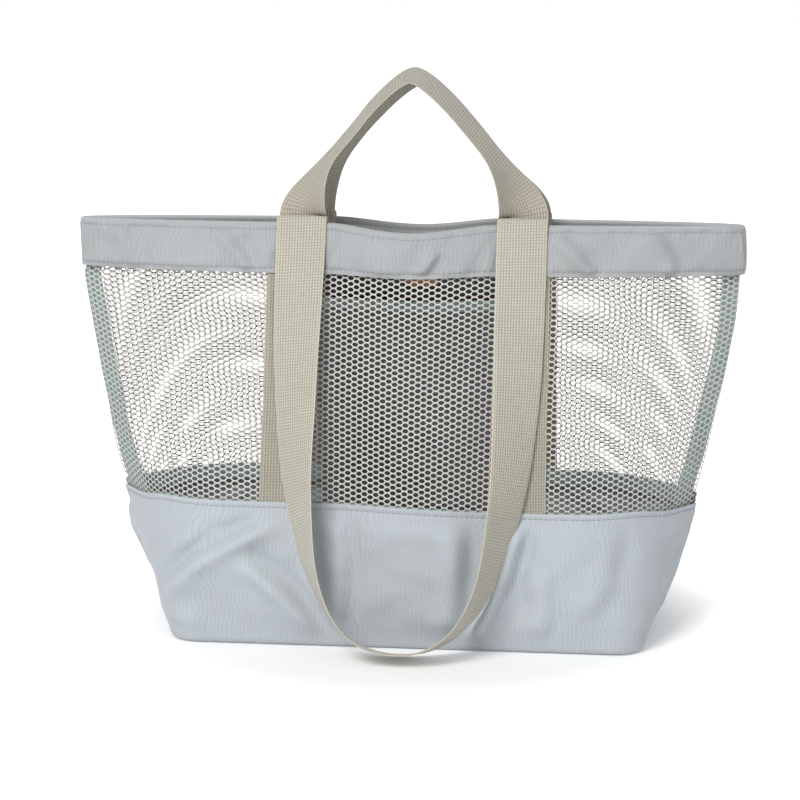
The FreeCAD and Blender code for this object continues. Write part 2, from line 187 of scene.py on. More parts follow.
def ripple(along, up, pitch, height, seed):
    """Gentle uneven waves over a surface, repeatable by seed."""
    draw = np.random.default_rng(seed)
    total = np.zeros(np.broadcast(along, up).shape)
    waves = 7
    for _ in range(waves):
        angle = draw.uniform(0.0, math.pi)
        stretch = draw.uniform(0.7, 1.5)
        phase = draw.uniform(0.0, 2.0 * math.pi)
        wave = 2.0 * math.pi / (pitch * stretch)
        total = total + np.sin(wave * (along * math.cos(angle) + up * math.sin(angle)) + phase)
    return total * height / math.sqrt(waves)


def creases(along, up, folds):
    """Height of folds at (along, up). A fold is its two ends, its height and its width.

    The cloth rises on one side of the fold's line and dips on the other, and both fade at its ends.
    """
    total = np.zeros(np.broadcast(along, up).shape)
    for start_along, start_up, end_along, end_up, height, width in folds:
        run_along, run_up = end_along - start_along, end_up - start_up
        reach = math.hypot(run_along, run_up)
        share = ((along - start_along) * run_along + (up - start_up) * run_up) / reach ** 2
        bend = 0.05 * reach * np.sin(math.pi * share)
        side = ((along - start_along) * run_up - (up - start_up) * run_along) / reach + bend
        fade = smooth((share + 0.18) / 0.36) * smooth((1.18 - share) / 0.36)
        ridge = np.exp(-((side - 0.75 * width) / width) ** 2)
        valley = np.exp(-((side + 0.55 * width) / (0.75 * width)) ** 2)
        total = total + height * fade * (ridge - 0.8 * valley)
    return total


def rows(bottom, top, step, *stitch_rows):
    """Heights from bottom to top about a step apart, with close rows each side of each stitch row."""
    count = max(2, math.ceil((top - bottom) / step))
    values = list(np.linspace(bottom, top, count + 1))
    for row in stitch_rows:
        values = [value for value in values if abs(value - row) > 1.6 or value in (bottom, top)]
        values += [row - 1.3, row - 0.5, row + 0.5, row + 1.3]
    return np.array(sorted(values))


def groove(height, row, depth=0.35, width=0.8):
    """How far a stitch row pulls the cloth in."""
    return -depth * np.exp(-((height - row) / width) ** 2)


class Wall:
    """One wall's middle surface, which carries every layer sewn to that wall.

    u runs from -1 at the wall's own left seam to 1 at its right seam, seen from outside.
    Points come out in millimetres in the bag's frame, with the back wall turned round.
    """

    def __init__(self, back=False):
        self.size = pattern()
        self.back = back

    def rim(self, u):
        size = self.size
        x = size.rim_width / 2 * u
        handle_u = size.handle_spacing / size.rim_width
        depth = size.mouth_half_depth * np.sqrt(np.clip(1 - u * u, 0, 1) / (1 - handle_u ** 2))
        inner = (size.handle_spacing - size.webbing_width) / 2
        share = np.clip(np.abs(x) / inner, 0, 1)
        return x, -(depth + size.rim_slack * (1 - share ** 2) ** 2)

    def base(self, u, z):
        """Plan of the base's edge. Its corners are rounder above the bottom, where no seam holds them."""
        size = self.size
        half_length, half_depth = size.base_length / 2, size.base_depth / 2
        radius = size.base_corner + 34.0 * smooth(z / 90.0)
        straight = half_length - radius
        arc = radius * math.pi / 2
        run = np.abs(u) * (straight + arc + half_depth - radius)
        turn = np.clip((run - straight) / radius, 0, math.pi / 2)
        x = np.minimum(run, straight) + radius * np.sin(turn)
        y = -half_depth + radius * (1 - np.cos(turn)) + np.maximum(run - straight - arc, 0)
        return np.sign(u) * x, y

    def plan(self, u, z):
        share = np.clip(z / self.size.rim_height, 0, 1.05)
        base_x = np.clip(1 - share, 0, 1) ** 1.85
        base_y = 1 - share ** 1.5
        rim_x, rim_y = self.rim(u)
        foot_x, foot_y = self.base(u, z)
        x = rim_x * (1 - base_x) + foot_x * base_x
        y = rim_y * (1 - base_y) + foot_y * base_y
        return x, y - SIDE_SEAM_GAP / 2

    def point(self, u, z, offset):
        """Points at offsets outwards, settled as the cloth hangs."""
        u, z, offset = np.broadcast_arrays(*(np.asarray(value, float) for value in (u, z, offset)))
        angle = np.arcsin(np.clip(u, -1, 1))
        step = math.radians(0.2)
        x, y = self.plan(u, z)
        left = self.plan(np.sin(np.maximum(angle - step, -math.pi / 2)), z)
        right = self.plan(np.sin(np.minimum(angle + step, math.pi / 2)), z)
        along_x, along_y = right[0] - left[0], right[1] - left[1]
        along_x = np.where(np.abs(u) >= 1.0, 0.0, along_x)
        run = np.hypot(along_x, along_y)
        points = np.stack([x + offset * along_y / run, y - offset * along_x / run, z], -1)
        if self.back:
            points[..., :2] *= -1
        return settle(points, self.size, self.rim_sag(u))

    def rim_sag(self, u):
        """How far the rim sinks between the handles."""
        size = self.size
        x = size.rim_width / 2 * u
        inner = (size.handle_spacing - size.webbing_width) / 2
        share = np.clip(np.abs(x) / inner, 0, 1)
        return (7.0 if self.back else 5.5) * (1 - share ** 2) ** 2

    def u_at(self, x, z):
        """u whose point lies at x on the front wall at height z."""
        grid = np.linspace(-1, 1, 2001)
        return np.interp(x, self.plan(grid, np.full_like(grid, z))[0], grid)


SETTLED_HEIGHTS = (0.0, 28.0, 56.0, 75.0, 97.0, 125.0, 155.0, 180.0, 215.0, 245.0, 276.0, 284.0, 320.0)
LEFT_MOVES = (0.0, -2.5, -9.5, -11.0, -6.0, -6.0, -5.0, -3.0, -2.0, -2.5, -3.5, -0.5, 0.0)
RIGHT_MOVES = (0.0, -1.0, -2.0, -3.5, -5.5, -8.0, -8.5, -9.5, -9.0, -8.5, -9.5, -10.0, -12.0)


def settle(points, size, sag):
    """Points as the soft bag settles: the rim sags, the ends lean to the left, and the front hem dips."""
    x, z = points[..., 0], points[..., 2].copy()
    left = np.interp(z, SETTLED_HEIGHTS, LEFT_MOVES) * smooth((-x - 60.0) / 120.0)
    right = np.interp(z, SETTLED_HEIGHTS, RIGHT_MOVES) * smooth((x - 60.0) / 130.0)
    low = np.clip(z / size.base_height, 0, 2.2)
    droop = (4.0 * smooth((x + 60.0) / 130.0) + 4.0 * smooth((np.abs(x) - 180.0) / 30.0)) * np.where(
        low < 1, low, smooth((2.2 - low) / 1.2))
    sink = sag * (0.25 * smooth((z - size.base_height) / 150.0) + 0.75 * smooth((z - 278.0) / 40.0))
    points = points.copy()
    points[..., 0] += left + right
    points[..., 2] -= sink + droop * (points[..., 1] < 0)
    return points


# ---------------------------------------------------------------- meshes

def make_piece(name, points, faces, material, uv=None, wear_and_highlight=None, sharp=50.0):
    """Mesh object at the origin, from points in millimetres and faces of the same number of corners each."""
    mesh = bpy.data.meshes.new(name)
    corners = np.concatenate([np.asarray(group, np.int32).ravel() for group in faces])
    counts = np.concatenate([np.full(len(group), len(group[0]), np.int32) for group in faces])
    mesh.vertices.add(len(points))
    mesh.vertices.foreach_set("co", (np.asarray(points) * MM).astype(np.float32).ravel())
    mesh.loops.add(len(corners))
    mesh.loops.foreach_set("vertex_index", corners)
    mesh.polygons.add(len(counts))
    mesh.polygons.foreach_set("loop_start", np.concatenate([[0], np.cumsum(counts)[:-1]]).astype(np.int32))
    mesh.update(calc_edges=True)
    if mesh.validate():
        raise RuntimeError(f"{name} has broken faces")
    if uv is not None:
        layer = mesh.uv_layers.new(name="Cloth")
        layer.data.foreach_set("uv", (np.asarray(uv)[corners] * MM).astype(np.float32).ravel())
    if wear_and_highlight is not None:
        attribute = mesh.attributes.new("wear_and_highlight", "FLOAT", "POINT")
        attribute.data.foreach_set("value", np.asarray(wear_and_highlight, np.float32))
    mesh.shade_smooth()
    mesh.set_sharp_from_angle(angle=math.radians(sharp))
    mesh.materials.append(material)
    piece = bpy.data.objects.new(name, mesh)
    bpy.context.scene.collection.objects.link(piece)
    return piece


def sheet_faces(count_rows, count_columns, closed_rows=False):
    """Faces of a closed sheet: an outer grid, an inner grid turned over, and the strips round their edges."""
    index = np.arange(count_rows * count_columns).reshape(count_rows, count_columns)
    inner = index + count_rows * count_columns

    def quads(a, b, c, d):
        return np.stack([a.ravel(), b.ravel(), c.ravel(), d.ravel()], 1)

    faces = [
        quads(index[:-1, :-1], index[:-1, 1:], index[1:, 1:], index[1:, :-1]),
        quads(inner[:-1, :-1], inner[1:, :-1], inner[1:, 1:], inner[:-1, 1:]),
        quads(index[:-1, 0], index[1:, 0], inner[1:, 0], inner[:-1, 0]),
        quads(index[1:, -1], index[:-1, -1], inner[:-1, -1], inner[1:, -1]),
    ]
    if not closed_rows:
        faces.append(quads(index[0, 1:], index[0, :-1], inner[0, :-1], inner[0, 1:]))
        faces.append(quads(index[-1, :-1], index[-1, 1:], inner[-1, 1:], inner[-1, :-1]))
    return np.concatenate(faces)


def make_sheet(name, outer, inner, uv, material, wear_and_highlight=None, sharp=50.0):
    """Closed sheet between an outer and an inner grid of points, rows upwards and columns to the right."""
    count_rows, count_columns = outer.shape[:2]
    points = np.concatenate([outer.reshape(-1, 3), inner.reshape(-1, 3)])
    both = np.concatenate([uv.reshape(-1, 2)] * 2)
    if wear_and_highlight is None:
        wear_and_highlight = np.zeros(outer.shape[:2])
    wear_and_highlight = np.concatenate([np.asarray(wear_and_highlight).ravel()] * 2)
    faces = sheet_faces(count_rows, count_columns)
    return make_piece(name, points, [faces], material, both, wear_and_highlight, sharp)


def columns(step=2.5, reach=1.0):
    """u values across a wall, closer together at the rounded side seams."""
    edge = 0.94 * reach
    inner = np.linspace(-edge, edge, math.ceil(2 * edge * HALF_RIM / step) + 1)
    outer = edge + (reach - edge) * np.sin(np.linspace(0, math.pi / 2, 11))[1:]
    return np.concatenate([-outer[::-1], inner, outer])


def grid_uv(u, heights):
    """Cloth coordinates of a wall grid in millimetres: along the wall and up it."""
    along, up = np.meshgrid(u * HALF_RIM, heights)
    return np.stack([along, up], -1)


# ---------------------------------------------------------------- finishes

def add_node(tree, kind, values=None, **settings):
    """New node with its settings, and its inputs by name or number: a socket is linked, a value is set."""
    made = tree.nodes.new(kind)
    for name, value in settings.items():
        setattr(made, name, value)
    for key, value in (values or {}).items():
        if isinstance(value, bpy.types.NodeSocket):
            tree.links.new(value, made.inputs[key])
        else:
            made.inputs[key].default_value = value
    return made


class Finish:
    """A material under construction: a Principled shader and short ways to add nodes to it."""

    def __init__(self, name, roughness, **sockets):
        self.material = bpy.data.materials.new(name)
        self.material.use_nodes = True
        self.tree = self.material.node_tree
        self.shader = self.tree.nodes["Principled BSDF"]
        self.shader.inputs["Roughness"].default_value = roughness
        for socket, value in sockets.items():
            self.shader.inputs[socket.replace("_", " ")].default_value = value

    def node(self, kind, values=None, **settings):
        return add_node(self.tree, kind, values, **settings)

    def math(self, operation, first, second=0.0, third=0.0):
        return self.node("ShaderNodeMath", {0: first, 1: second, 2: third}, operation=operation).outputs[0]

    def uv(self):
        """Cloth coordinates in millimetres: across and along."""
        made = self.node("ShaderNodeUVMap", uv_map="Cloth").outputs[0]
        parts = self.node("ShaderNodeSeparateXYZ", {0: made})
        return [self.math("MULTIPLY", parts.outputs[i], 1 / MM) for i in range(2)]

    def wave(self, along, pitch, phase=0.0):
        """Sine wave between 0 and 1 along a coordinate in millimetres."""
        turned = self.math("MULTIPLY_ADD", along, 2 * math.pi / pitch, phase)
        return self.math("MULTIPLY_ADD", self.math("SINE", turned), 0.5, 0.5)

    def noise(self, scale, detail=2.0, stretch=(1.0, 1.0, 1.0), vector=None, roughness=0.5):
        """Noise over the piece's own coordinates, or over a vector."""
        if vector is None:
            vector = self.node("ShaderNodeTexCoord").outputs["Object"]
        scaled = self.node("ShaderNodeMapping", {"Vector": vector, "Scale": stretch}).outputs[0]
        values = {"Vector": scaled, "Scale": scale, "Detail": detail, "Roughness": roughness}
        return self.node("ShaderNodeTexNoise", values).outputs["Fac"]

    def thread_noise(self, across, along, fine, long):
        """Uneven yarn: noise drawn out along one direction of the cloth."""
        vector = self.node("ShaderNodeCombineXYZ", {0: across, 1: along}).outputs[0]
        return self.noise(1.0, 2.0, (1 / fine, 1 / long, 1.0), vector)

    def span(self, value, low, high):
        """A value from 0 to 1 turned into one from low to high."""
        return self.math("MULTIPLY_ADD", value, high - low, low)

    def shade(self, *spans):
        """Product of values from 0 to 1, each spread from its own low to its own high."""
        total = None
        for value, low, high in spans:
            part = self.span(value, low, high)
            total = part if total is None else self.math("MULTIPLY", total, part)
        return total

    def tinted(self, shade, colour_value):
        """Colour multiplied by a shade."""
        values = {0: tuple(colour_value), "Scale": shade}
        return self.node("ShaderNodeVectorMath", values, operation="SCALE").outputs[0]

    def mixed(self, share, first, second):
        made = self.node("ShaderNodeMix", {0: share}, data_type="RGBA")
        for key, value in ((6, first), (7, second)):
            if isinstance(value, bpy.types.NodeSocket):
                self.tree.links.new(value, made.inputs[key])
            else:
                made.inputs[key].default_value = (*value, 1.0)
        return made.outputs[2]

    def wear_and_highlight(self):
        return self.node("ShaderNodeAttribute", attribute_name="wear_and_highlight").outputs["Fac"]

    def bump(self, height, distance, strength=1.0, below=None):
        values = {"Height": height, "Distance": distance * MM, "Strength": strength}
        if below is not None:
            values["Normal"] = below
        return self.node("ShaderNodeBump", values).outputs[0]

    def finish(self, base_colour, normal, roughness=None):
        self.tree.links.new(base_colour, self.shader.inputs["Base Color"])
        self.tree.links.new(normal, self.shader.inputs["Normal"])
        if roughness is not None:
            self.tree.links.new(roughness, self.shader.inputs["Roughness"])
        return self.material


def paler(colour_value, factor):
    """Colour made brighter by a factor, up to white."""
    return tuple(min(1.0, part * factor) for part in colour_value)


def woven_fabric(name, colour_value, thread=0.8, soil=0.05):
    """Fine twill of a pale synthetic fabric: slubby yarn, soft sheen, and paler marked edges and fold crests,
    partly wear and partly painted highlight.
    """
    made = Finish(name, 0.62, Sheen_Weight=0.25, Sheen_Roughness=0.45)
    across, along = made.uv()
    diagonal = made.math("ADD", across, along)
    twill = made.wave(diagonal, thread)
    cross = made.wave(made.math("SUBTRACT", across, along), thread * 2.3)
    weft = made.thread_noise(across, along, 14.0, 0.45)
    warp = made.thread_noise(across, along, 0.45, 14.0)
    slub = made.math("ADD", made.math("MULTIPLY", weft, 0.5), made.math("MULTIPLY", warp, 0.5))
    cloud = made.noise(22.0, 3.0)
    wander = made.math("MULTIPLY_ADD", made.noise(26.0, 2.0), 26.0, across)
    shade = made.shade((slub, 0.86, 1.14), (cloud, 1 - soil, 1 + soil), (twill, 0.93, 1.05),
                       (made.wave(wander, 3.1), 0.95, 1.05))
    tone = made.tinted(shade, colour_value)
    # Paler where a piece marks it: wear at some edges, and painted highlight on fold crests and on edges that
    # catch the light.
    tone = made.mixed(made.math("MULTIPLY", made.wear_and_highlight(), 0.7), tone, paler(colour_value, 1.16))
    weave = made.math("ADD", twill, made.math("MULTIPLY", cross, 0.4))
    weave = made.math("ADD", weave, made.math("MULTIPLY", slub, 2.2))
    normal = made.bump(made.noise(240.0, 3.0), 0.5, 0.35)
    normal = made.bump(weave, 0.10, 0.8, normal)
    return made.finish(tone, normal, made.span(slub, 0.50, 0.74))


def webbing_finish(name, colour_value):
    """Cream webbing: lengthwise ribs whose rows of yarn are staggered like bricks, and paler edges, a painted
    highlight along the selvedges.
    """
    made = Finish(name, 0.78, Sheen_Weight=0.35, Sheen_Roughness=0.5)
    across, along = made.uv()
    rib = made.math("ABSOLUTE", made.math("SINE", made.math("MULTIPLY", across, math.pi / 2.2)))
    step = made.math("MULTIPLY", made.math("FLOOR", made.math("DIVIDE", across, 2.2)), 0.5)
    lean = made.math("ADD", made.math("DIVIDE", along, 2.3), step)
    lean = made.math("ADD", lean, made.math("MULTIPLY", across, 0.21))
    cross = made.math("MULTIPLY_ADD", made.math("SINE", made.math("MULTIPLY", lean, 2 * math.pi)), 0.5, 0.5)
    yarn = made.thread_noise(across, along, 0.7, 6.0)
    height = made.math("MULTIPLY", made.span(rib, 0.35, 1.0), made.span(cross, 0.45, 1.0))
    cloud = made.noise(30.0, 3.0)
    shade = made.shade((height, 0.42, 1.34), (yarn, 0.88, 1.12), (cloud, 0.94, 1.06))
    tone = made.tinted(shade, colour_value)
    # Paler along the marked selvedges: painted highlight.
    tone = made.mixed(made.math("MULTIPLY", made.wear_and_highlight(), 0.75), tone, paler(colour_value, 1.22))
    normal = made.bump(made.noise(300.0, 3.0), 0.4, 0.35)
    normal = made.bump(made.math("ADD", height, made.math("MULTIPLY", yarn, 0.5)), 0.6, 1.0, normal)
    return made.finish(tone, normal, made.span(height, 0.88, 0.70))


def net_finish(name, colour_value):
    """Pale yarn of the net, with the fine furrows of its knitting."""
    made = Finish(name, 0.55, Sheen_Weight=0.2, Sheen_Roughness=0.4)
    knit = made.noise(1400.0, 2.0, (1.0, 1.0, 2.6))
    cloud = made.noise(18.0, 2.0)
    shade = made.shade((knit, 0.80, 1.16), (cloud, 0.94, 1.06))
    return made.finish(made.tinted(shade, colour_value), made.bump(knit, 0.25, 0.8))


def tape_finish(name, colour_value):
    """Grosgrain tape: close cross ribs and a slight yarn variation."""
    made = Finish(name, 0.7, Sheen_Weight=0.2, Sheen_Roughness=0.5)
    across, along = made.uv()
    rib = made.wave(along, 0.9)
    yarn = made.thread_noise(across, along, 8.0, 0.6)
    cloud = made.noise(40.0, 2.0)
    shade = made.shade((rib, 0.88, 1.05), (yarn, 0.88, 1.10), (cloud, 0.94, 1.06))
    return made.finish(made.tinted(shade, colour_value), made.bump(made.math("ADD", rib, yarn), 0.16, 0.8))


def tab_finish(name, colour_value):
    """Brown leather-like tab with a pebbled grain and darker creases."""
    made = Finish(name, 0.5)
    coordinates = made.node("ShaderNodeTexCoord").outputs["Object"]
    grain = made.node("ShaderNodeTexVoronoi", {"Vector": coordinates, "Scale": 1100.0}).outputs["Distance"]
    cloud = made.noise(60.0, 3.0)
    shade = made.shade((grain, 1.08, 0.82), (cloud, 0.88, 1.12))
    tone = made.mixed(made.math("MULTIPLY", made.wear_and_highlight(), 0.6), made.tinted(shade, colour_value),
                      paler(colour_value, 1.5))
    return made.finish(tone, made.bump(grain, 0.12, 0.7), made.span(grain, 0.42, 0.62))


def thread_finish(name, colour_value):
    """Twisted sewing thread with a slight gloss."""
    made = Finish(name, 0.42, Sheen_Weight=0.15)
    twist = made.noise(2600.0, 1.0)
    return made.finish(made.tinted(made.span(twist, 0.80, 1.18), colour_value), made.bump(twist, 0.08, 0.6))


def finish_of(name):
    """The bag's material of that name, made when it is first asked for."""
    title = "beach_bag_" + name
    found = bpy.data.materials.get(title)
    if found:
        return found
    colours = bpy.context.scene.beach_bag_colours
    makers = {
        "base_fabric": lambda: woven_fabric(title, colours.base),
        "band_fabric": lambda: woven_fabric(title, colours.band, soil=0.08),
        "webbing": lambda: webbing_finish(title, colours.webbing),
        "standing_webbing_in_painted_shade": lambda: webbing_finish(title, colours.standing_webbing_in_painted_shade),
        "leg_webbing_in_painted_shade": lambda: webbing_finish(title, colours.leg_webbing_in_painted_shade),
        "net": lambda: net_finish(title, colours.net),
        "back_net": lambda: net_finish(title, colours.back_net),
        "seam_tape": lambda: tape_finish(title, colours.tape),
        # The pocket's finishes, and its thread made from the pocket colour, carry painted shade.
        "pocket_fabric": lambda: woven_fabric(title, colours.pocket, 1.1),
        "pocket_back_in_painted_shade": lambda: woven_fabric(title, colours.pocket_back, 1.1),
        "tab": lambda: tab_finish(title, colours.tab),
        "base_thread": lambda: thread_finish(title, [part * 0.62 for part in colours.base]),
        "webbing_thread": lambda: thread_finish(title, [part * 1.08 for part in colours.webbing]),
        "tape_thread": lambda: thread_finish(title, [part * 1.15 for part in colours.tape]),
        "pocket_thread": lambda: thread_finish(title, [part * 1.5 for part in colours.pocket]),
    }
    return makers[name]()


def fix_to_bag(piece, slot, *nodes):
    """A piece that rides on the bag and stands for those nodes of the frame. The slot is not used."""
    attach(piece, "bag")
    if nodes:
        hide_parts(*nodes)


# ---------------------------------------------------------------- net

STRAND_HALF_DEPTH = 0.38
NET_OPEN_SHARE = (0.84, 0.72)
NET_CORNER_CUT = 0.27


def net_cells(size, half_reach, bottom, top):
    """Integer places of the cells: column, and row of half cells, so that odd columns sit half a cell up."""
    pitch_along = size.hole_width * 0.75
    half_row = size.hole_height / 2
    cells = []
    for column in range(-int(half_reach / pitch_along), int(half_reach / pitch_along) + 1):
        first = math.ceil(bottom / half_row)
        for row in range(first, int(top / half_row) + 1):
            if (row + column) % 2 == 0:
                cells.append((column, row))
    return np.array(cells)


def make_net(name, wall):
    """Net of open six-sided cells. A strand is a ridge in front and behind, rounded towards the holes."""
    size = wall.size
    tip, flat = size.hole_width / 2, size.hole_height / 2
    bottom, top = size.base_height - 11.0, size.rim_height - size.band_height + 10.0
    half_reach = size.rim_width / 2 - 1.0
    cells = net_cells(size, half_reach, bottom, top)
    # a cell's corners on a lattice of half tips and half rows
    corner = np.array([(2, 0), (1, 1), (-1, 1), (-2, 0), (-1, -1), (1, -1)])
    lattice = np.stack([cells[:, 0] * 3, cells[:, 1]], 1)[:, None, :] + corner[None]
    keys, shared = np.unique(lattice.reshape(-1, 2), axis=0, return_inverse=True)
    shared = shared.reshape(-1, 6)
    ridge_along = keys[:, 0] * tip / 2
    ridge_up = keys[:, 1] * flat
    centre_along = cells[:, 0] * 3 * tip / 2
    centre_up = cells[:, 1] * flat
    # two points beside each corner of a hole, so that the holes come out round
    six_along = centre_along[:, None] + corner[None, :, 0] * tip / 2 * NET_OPEN_SHARE[0]
    six_up = centre_up[:, None] + corner[None, :, 1] * flat * NET_OPEN_SHARE[1]
    cut = NET_CORNER_CUT

    def cut_corners(six):
        return np.stack([six + cut * (np.roll(six, shift, 1) - six) for shift in (1, -1)], -1)

    hole_along, hole_up = cut_corners(six_along), cut_corners(six_up)
    count_ridge, count_cells = len(keys), len(cells)
    along = np.concatenate([ridge_along, ridge_along, hole_along.ravel()])
    up = np.concatenate([ridge_up, ridge_up, hole_up.ravel()])
    ridge = np.full(count_ridge, STRAND_HALF_DEPTH)
    lift = np.concatenate([ridge, -ridge, np.zeros(count_cells * 12)])
    along = np.clip(along, -half_reach, half_reach)
    up = np.clip(up, bottom, top)
    free = smooth((up - 112) / 30) * smooth((top - 14 - up) / 30)
    lift = lift + ripple(along, up, 9.0, 0.05, 11) + ripple(along, up, 70.0, 0.5, 12) * free
    points = wall.point(along / (size.rim_width / 2), up, NET_MIDDLE + lift)
    front = shared
    behind = shared + count_ridge
    hole = np.arange(count_cells * 12).reshape(-1, 6, 2) + 2 * count_ridge
    before, after = hole[..., 0], hole[..., 1]
    following = np.roll(np.arange(6), -1)
    edge_from, edge_to = front, front[:, following]
    quads = [
        np.stack([edge_from, edge_to, before[:, following], after], -1).reshape(-1, 4),
        np.stack([behind[:, following], behind, after, before[:, following]], -1).reshape(-1, 4),
    ]
    corners = [
        np.stack([front, after, before], -1).reshape(-1, 3),
        np.stack([behind, before, after], -1).reshape(-1, 3),
    ]
    directed = np.stack([edge_from.ravel(), edge_to.ravel()], 1)
    code = directed[:, 0].astype(np.int64) * (2 * count_ridge) + directed[:, 1]
    reverse = directed[:, 1].astype(np.int64) * (2 * count_ridge) + directed[:, 0]
    rim = directed[~np.isin(code, reverse)]
    quads.append(np.stack([rim[:, 1], rim[:, 0], rim[:, 0] + count_ridge, rim[:, 1] + count_ridge], 1))
    uv = np.stack([along, up], -1)
    faces = [np.concatenate(quads), np.concatenate(corners)]
    # The back wall's net takes the darker yarn colour, which is painted shade inside the bag.
    return make_piece(name, points, faces, finish_of("back_net" if wall.back else "net"), uv, sharp=100.0)


# ---------------------------------------------------------------- base

FRONT_BASE_FOLDS = (
    (-182.0, 44.0, -112.0, 96.0, 4.4, 8.0),
    (-118.0, 66.0, -56.0, 4.0, 4.4, 8.0),
    (-47.0, 98.0, -50.0, 12.0, 2.4, 10.0),
    (47.0, 96.0, 41.0, 10.0, 2.6, 11.0),
    (98.0, 100.0, 58.0, 4.0, 4.8, 8.0),
    (117.0, 62.0, 112.0, 8.0, 1.6, 9.0),
    (176.0, 92.0, 150.0, 30.0, 1.8, 12.0),
    (-160.0, 96.0, -148.0, 60.0, 1.2, 9.0),
)
BACK_BASE_FOLDS = (
    (-190.0, 40.0, -120.0, 92.0, 2.8, 9.0),
    (-96.0, 98.0, -70.0, 14.0, 2.4, 9.0),
    (-20.0, 96.0, -28.0, 16.0, 1.4, 12.0),
    (60.0, 94.0, 88.0, 12.0, 2.6, 9.0),
    (140.0, 90.0, 176.0, 30.0, 2.2, 10.0),
)


def make_base_panel(name, wall, folds, seed):
    """Base wall: hemmed along its top edge, creased, and rounded in at the foot."""
    size = wall.size
    top = size.base_height
    stitch_row = top - HEM_ROW
    turn = np.linspace(0, math.pi / 2, 7)[:-1]
    foot_height = 0.3 + BASE_FOOT_RADIUS * (1 - np.cos(turn))
    foot_offset = -BASE_FOOT_RADIUS * (1 - np.sin(turn))
    upper = rows(0.3 + BASE_FOOT_RADIUS, top, 2.6, stitch_row)
    heights = np.concatenate([foot_height, upper])
    inwards = np.concatenate([foot_offset, np.zeros(len(upper))])
    u = columns()
    along, up = np.meshgrid(u * size.rim_width / 2, heights)
    free = smooth((up - 4.0) / 22.0) * smooth((top - 2.0 - up) / 20.0)
    ends = smooth((size.rim_width / 2 - np.abs(along)) / 26.0)
    relief = 1.8 * creases(along, up, folds) + ripple(along, up, 90.0, 1.5, seed)
    relief = relief + ripple(along, up, 34.0, 0.6, seed + 1) + ripple(along, up, 15.0, 0.16, seed + 2)
    relief = relief * free * (0.25 + 0.75 * ends)
    pucker = 0.5 * np.sin(along / 1.9 + 2.0 * np.sin(along / 23.0)) * np.exp(-((up - stitch_row) / 5.0) ** 2)
    rise = np.maximum(relief + 3.2 * free, -0.2)
    outer_offset = COVER_TOP + inwards[:, None] + rise + pucker * 0.5 + groove(up, stitch_row, 0.7, 1.0)
    outer_offset = outer_offset - 0.35 * smooth((up - top + 0.9) / 0.9)
    edge = np.abs(u) > 0.985
    near = np.abs(heights - stitch_row) < 0.6
    add_seam("base_thread", wall.point(u, stitch_row, outer_offset[near].mean(0) + 0.15))
    highest = np.where(edge[None, :], COVER_TOP + inwards[:, None] + 0.4, np.inf)
    outer_offset = np.minimum(outer_offset, highest)
    outer = wall.point(u[None, :], heights[:, None], outer_offset)
    inner_heights = np.maximum(heights, 1.1)
    inner = wall.point(u[None, :], inner_heights[:, None], outer_offset - CLOTH)
    # Paler at the hem's top edge and along the foot, partly wear and partly painted highlight, and on the
    # crests of the folds, a painted highlight.
    wear_and_highlight = np.exp(-((up - top) / 1.4) ** 2) + 0.8 * np.exp(-((up - 1.5) / 3.0) ** 2)
    wear_and_highlight = wear_and_highlight + 0.35 * np.clip(relief / 3.0, 0, 1)
    return make_sheet(name, outer, inner, grid_uv(u, heights), finish_of("base_fabric"), np.clip(wear_and_highlight, 0, 1))


def make_bottom(name, front, back):
    """Bottom panel inside the foot of the base walls, a little uneven where it is off the ground."""
    size = front.size
    u = columns(5.0)
    inset = -6.4
    front_edge = front.point(u, 0.0, inset)
    back_edge = back.point(-u, 0.0, inset)
    share = np.linspace(0, 1, 41)[:, None, None]
    middle = front_edge[None] * (1 - share) + back_edge[None] * share
    x, y = middle[..., 0], middle[..., 1]
    inside = smooth((1 - np.abs(x) / (size.base_length / 2)) / 0.12)
    inside = inside * smooth((1 - np.abs(y) / (size.base_depth / 2)) / 0.2)
    lift = 1.3 * inside * (0.5 + 0.5 * np.clip(ripple(x, y, 70.0, 0.8, 31), -1, 1))
    outer, inner = middle.copy(), middle.copy()
    outer[..., 2] = 0.35 + lift
    inner[..., 2] = 1.15 + lift
    uv = np.stack([x, y], -1)
    # the underside is the outer grid, so its rows run from back to front
    return make_sheet(name, outer[::-1], inner[::-1], uv[::-1], finish_of("base_fabric"))


# ---------------------------------------------------------------- band

BAND_FOLDS = (
    (-150.0, 318.0, -122.0, 288.0, 1.3, 6.0),
    (-62.0, 318.0, -76.0, 290.0, 1.5, 6.0),
    (22.0, 302.0, 10.0, 284.0, 1.4, 5.0),
    (118.0, 314.0, 150.0, 286.0, 1.6, 7.0),
    (196.0, 318.0, 214.0, 288.0, 1.0, 7.0),
    (-226.0, 316.0, -210.0, 286.0, 0.9, 7.0),
)


def band_path(size):
    """The band's face from its outer lower edge over the rim to its inner one: offset, height, way out."""
    lower = size.rim_height - size.band_height
    radius = (COVER_TOP - LINING_FOOT) / 2
    centre = (COVER_TOP + LINING_FOOT) / 2
    shoulder = size.rim_height - radius
    up = rows(lower, shoulder, 2.6, lower + HEM_ROW, size.rim_height - RIM_ROW)
    turn = np.linspace(0, math.pi, 13)[1:-1]
    outside, inside = np.full(len(up), COVER_TOP), np.full(len(up), LINING_FOOT)
    offset = np.concatenate([outside, centre + radius * np.cos(turn), inside])
    height = np.concatenate([up, shoulder + radius * np.sin(turn), up[::-1]])
    out_offset = np.concatenate([np.ones(len(up)), np.cos(turn), -np.ones(len(up))])
    out_height = np.concatenate([np.zeros(len(up)), np.sin(turn), np.zeros(len(up))])
    return offset, height, out_offset, out_height


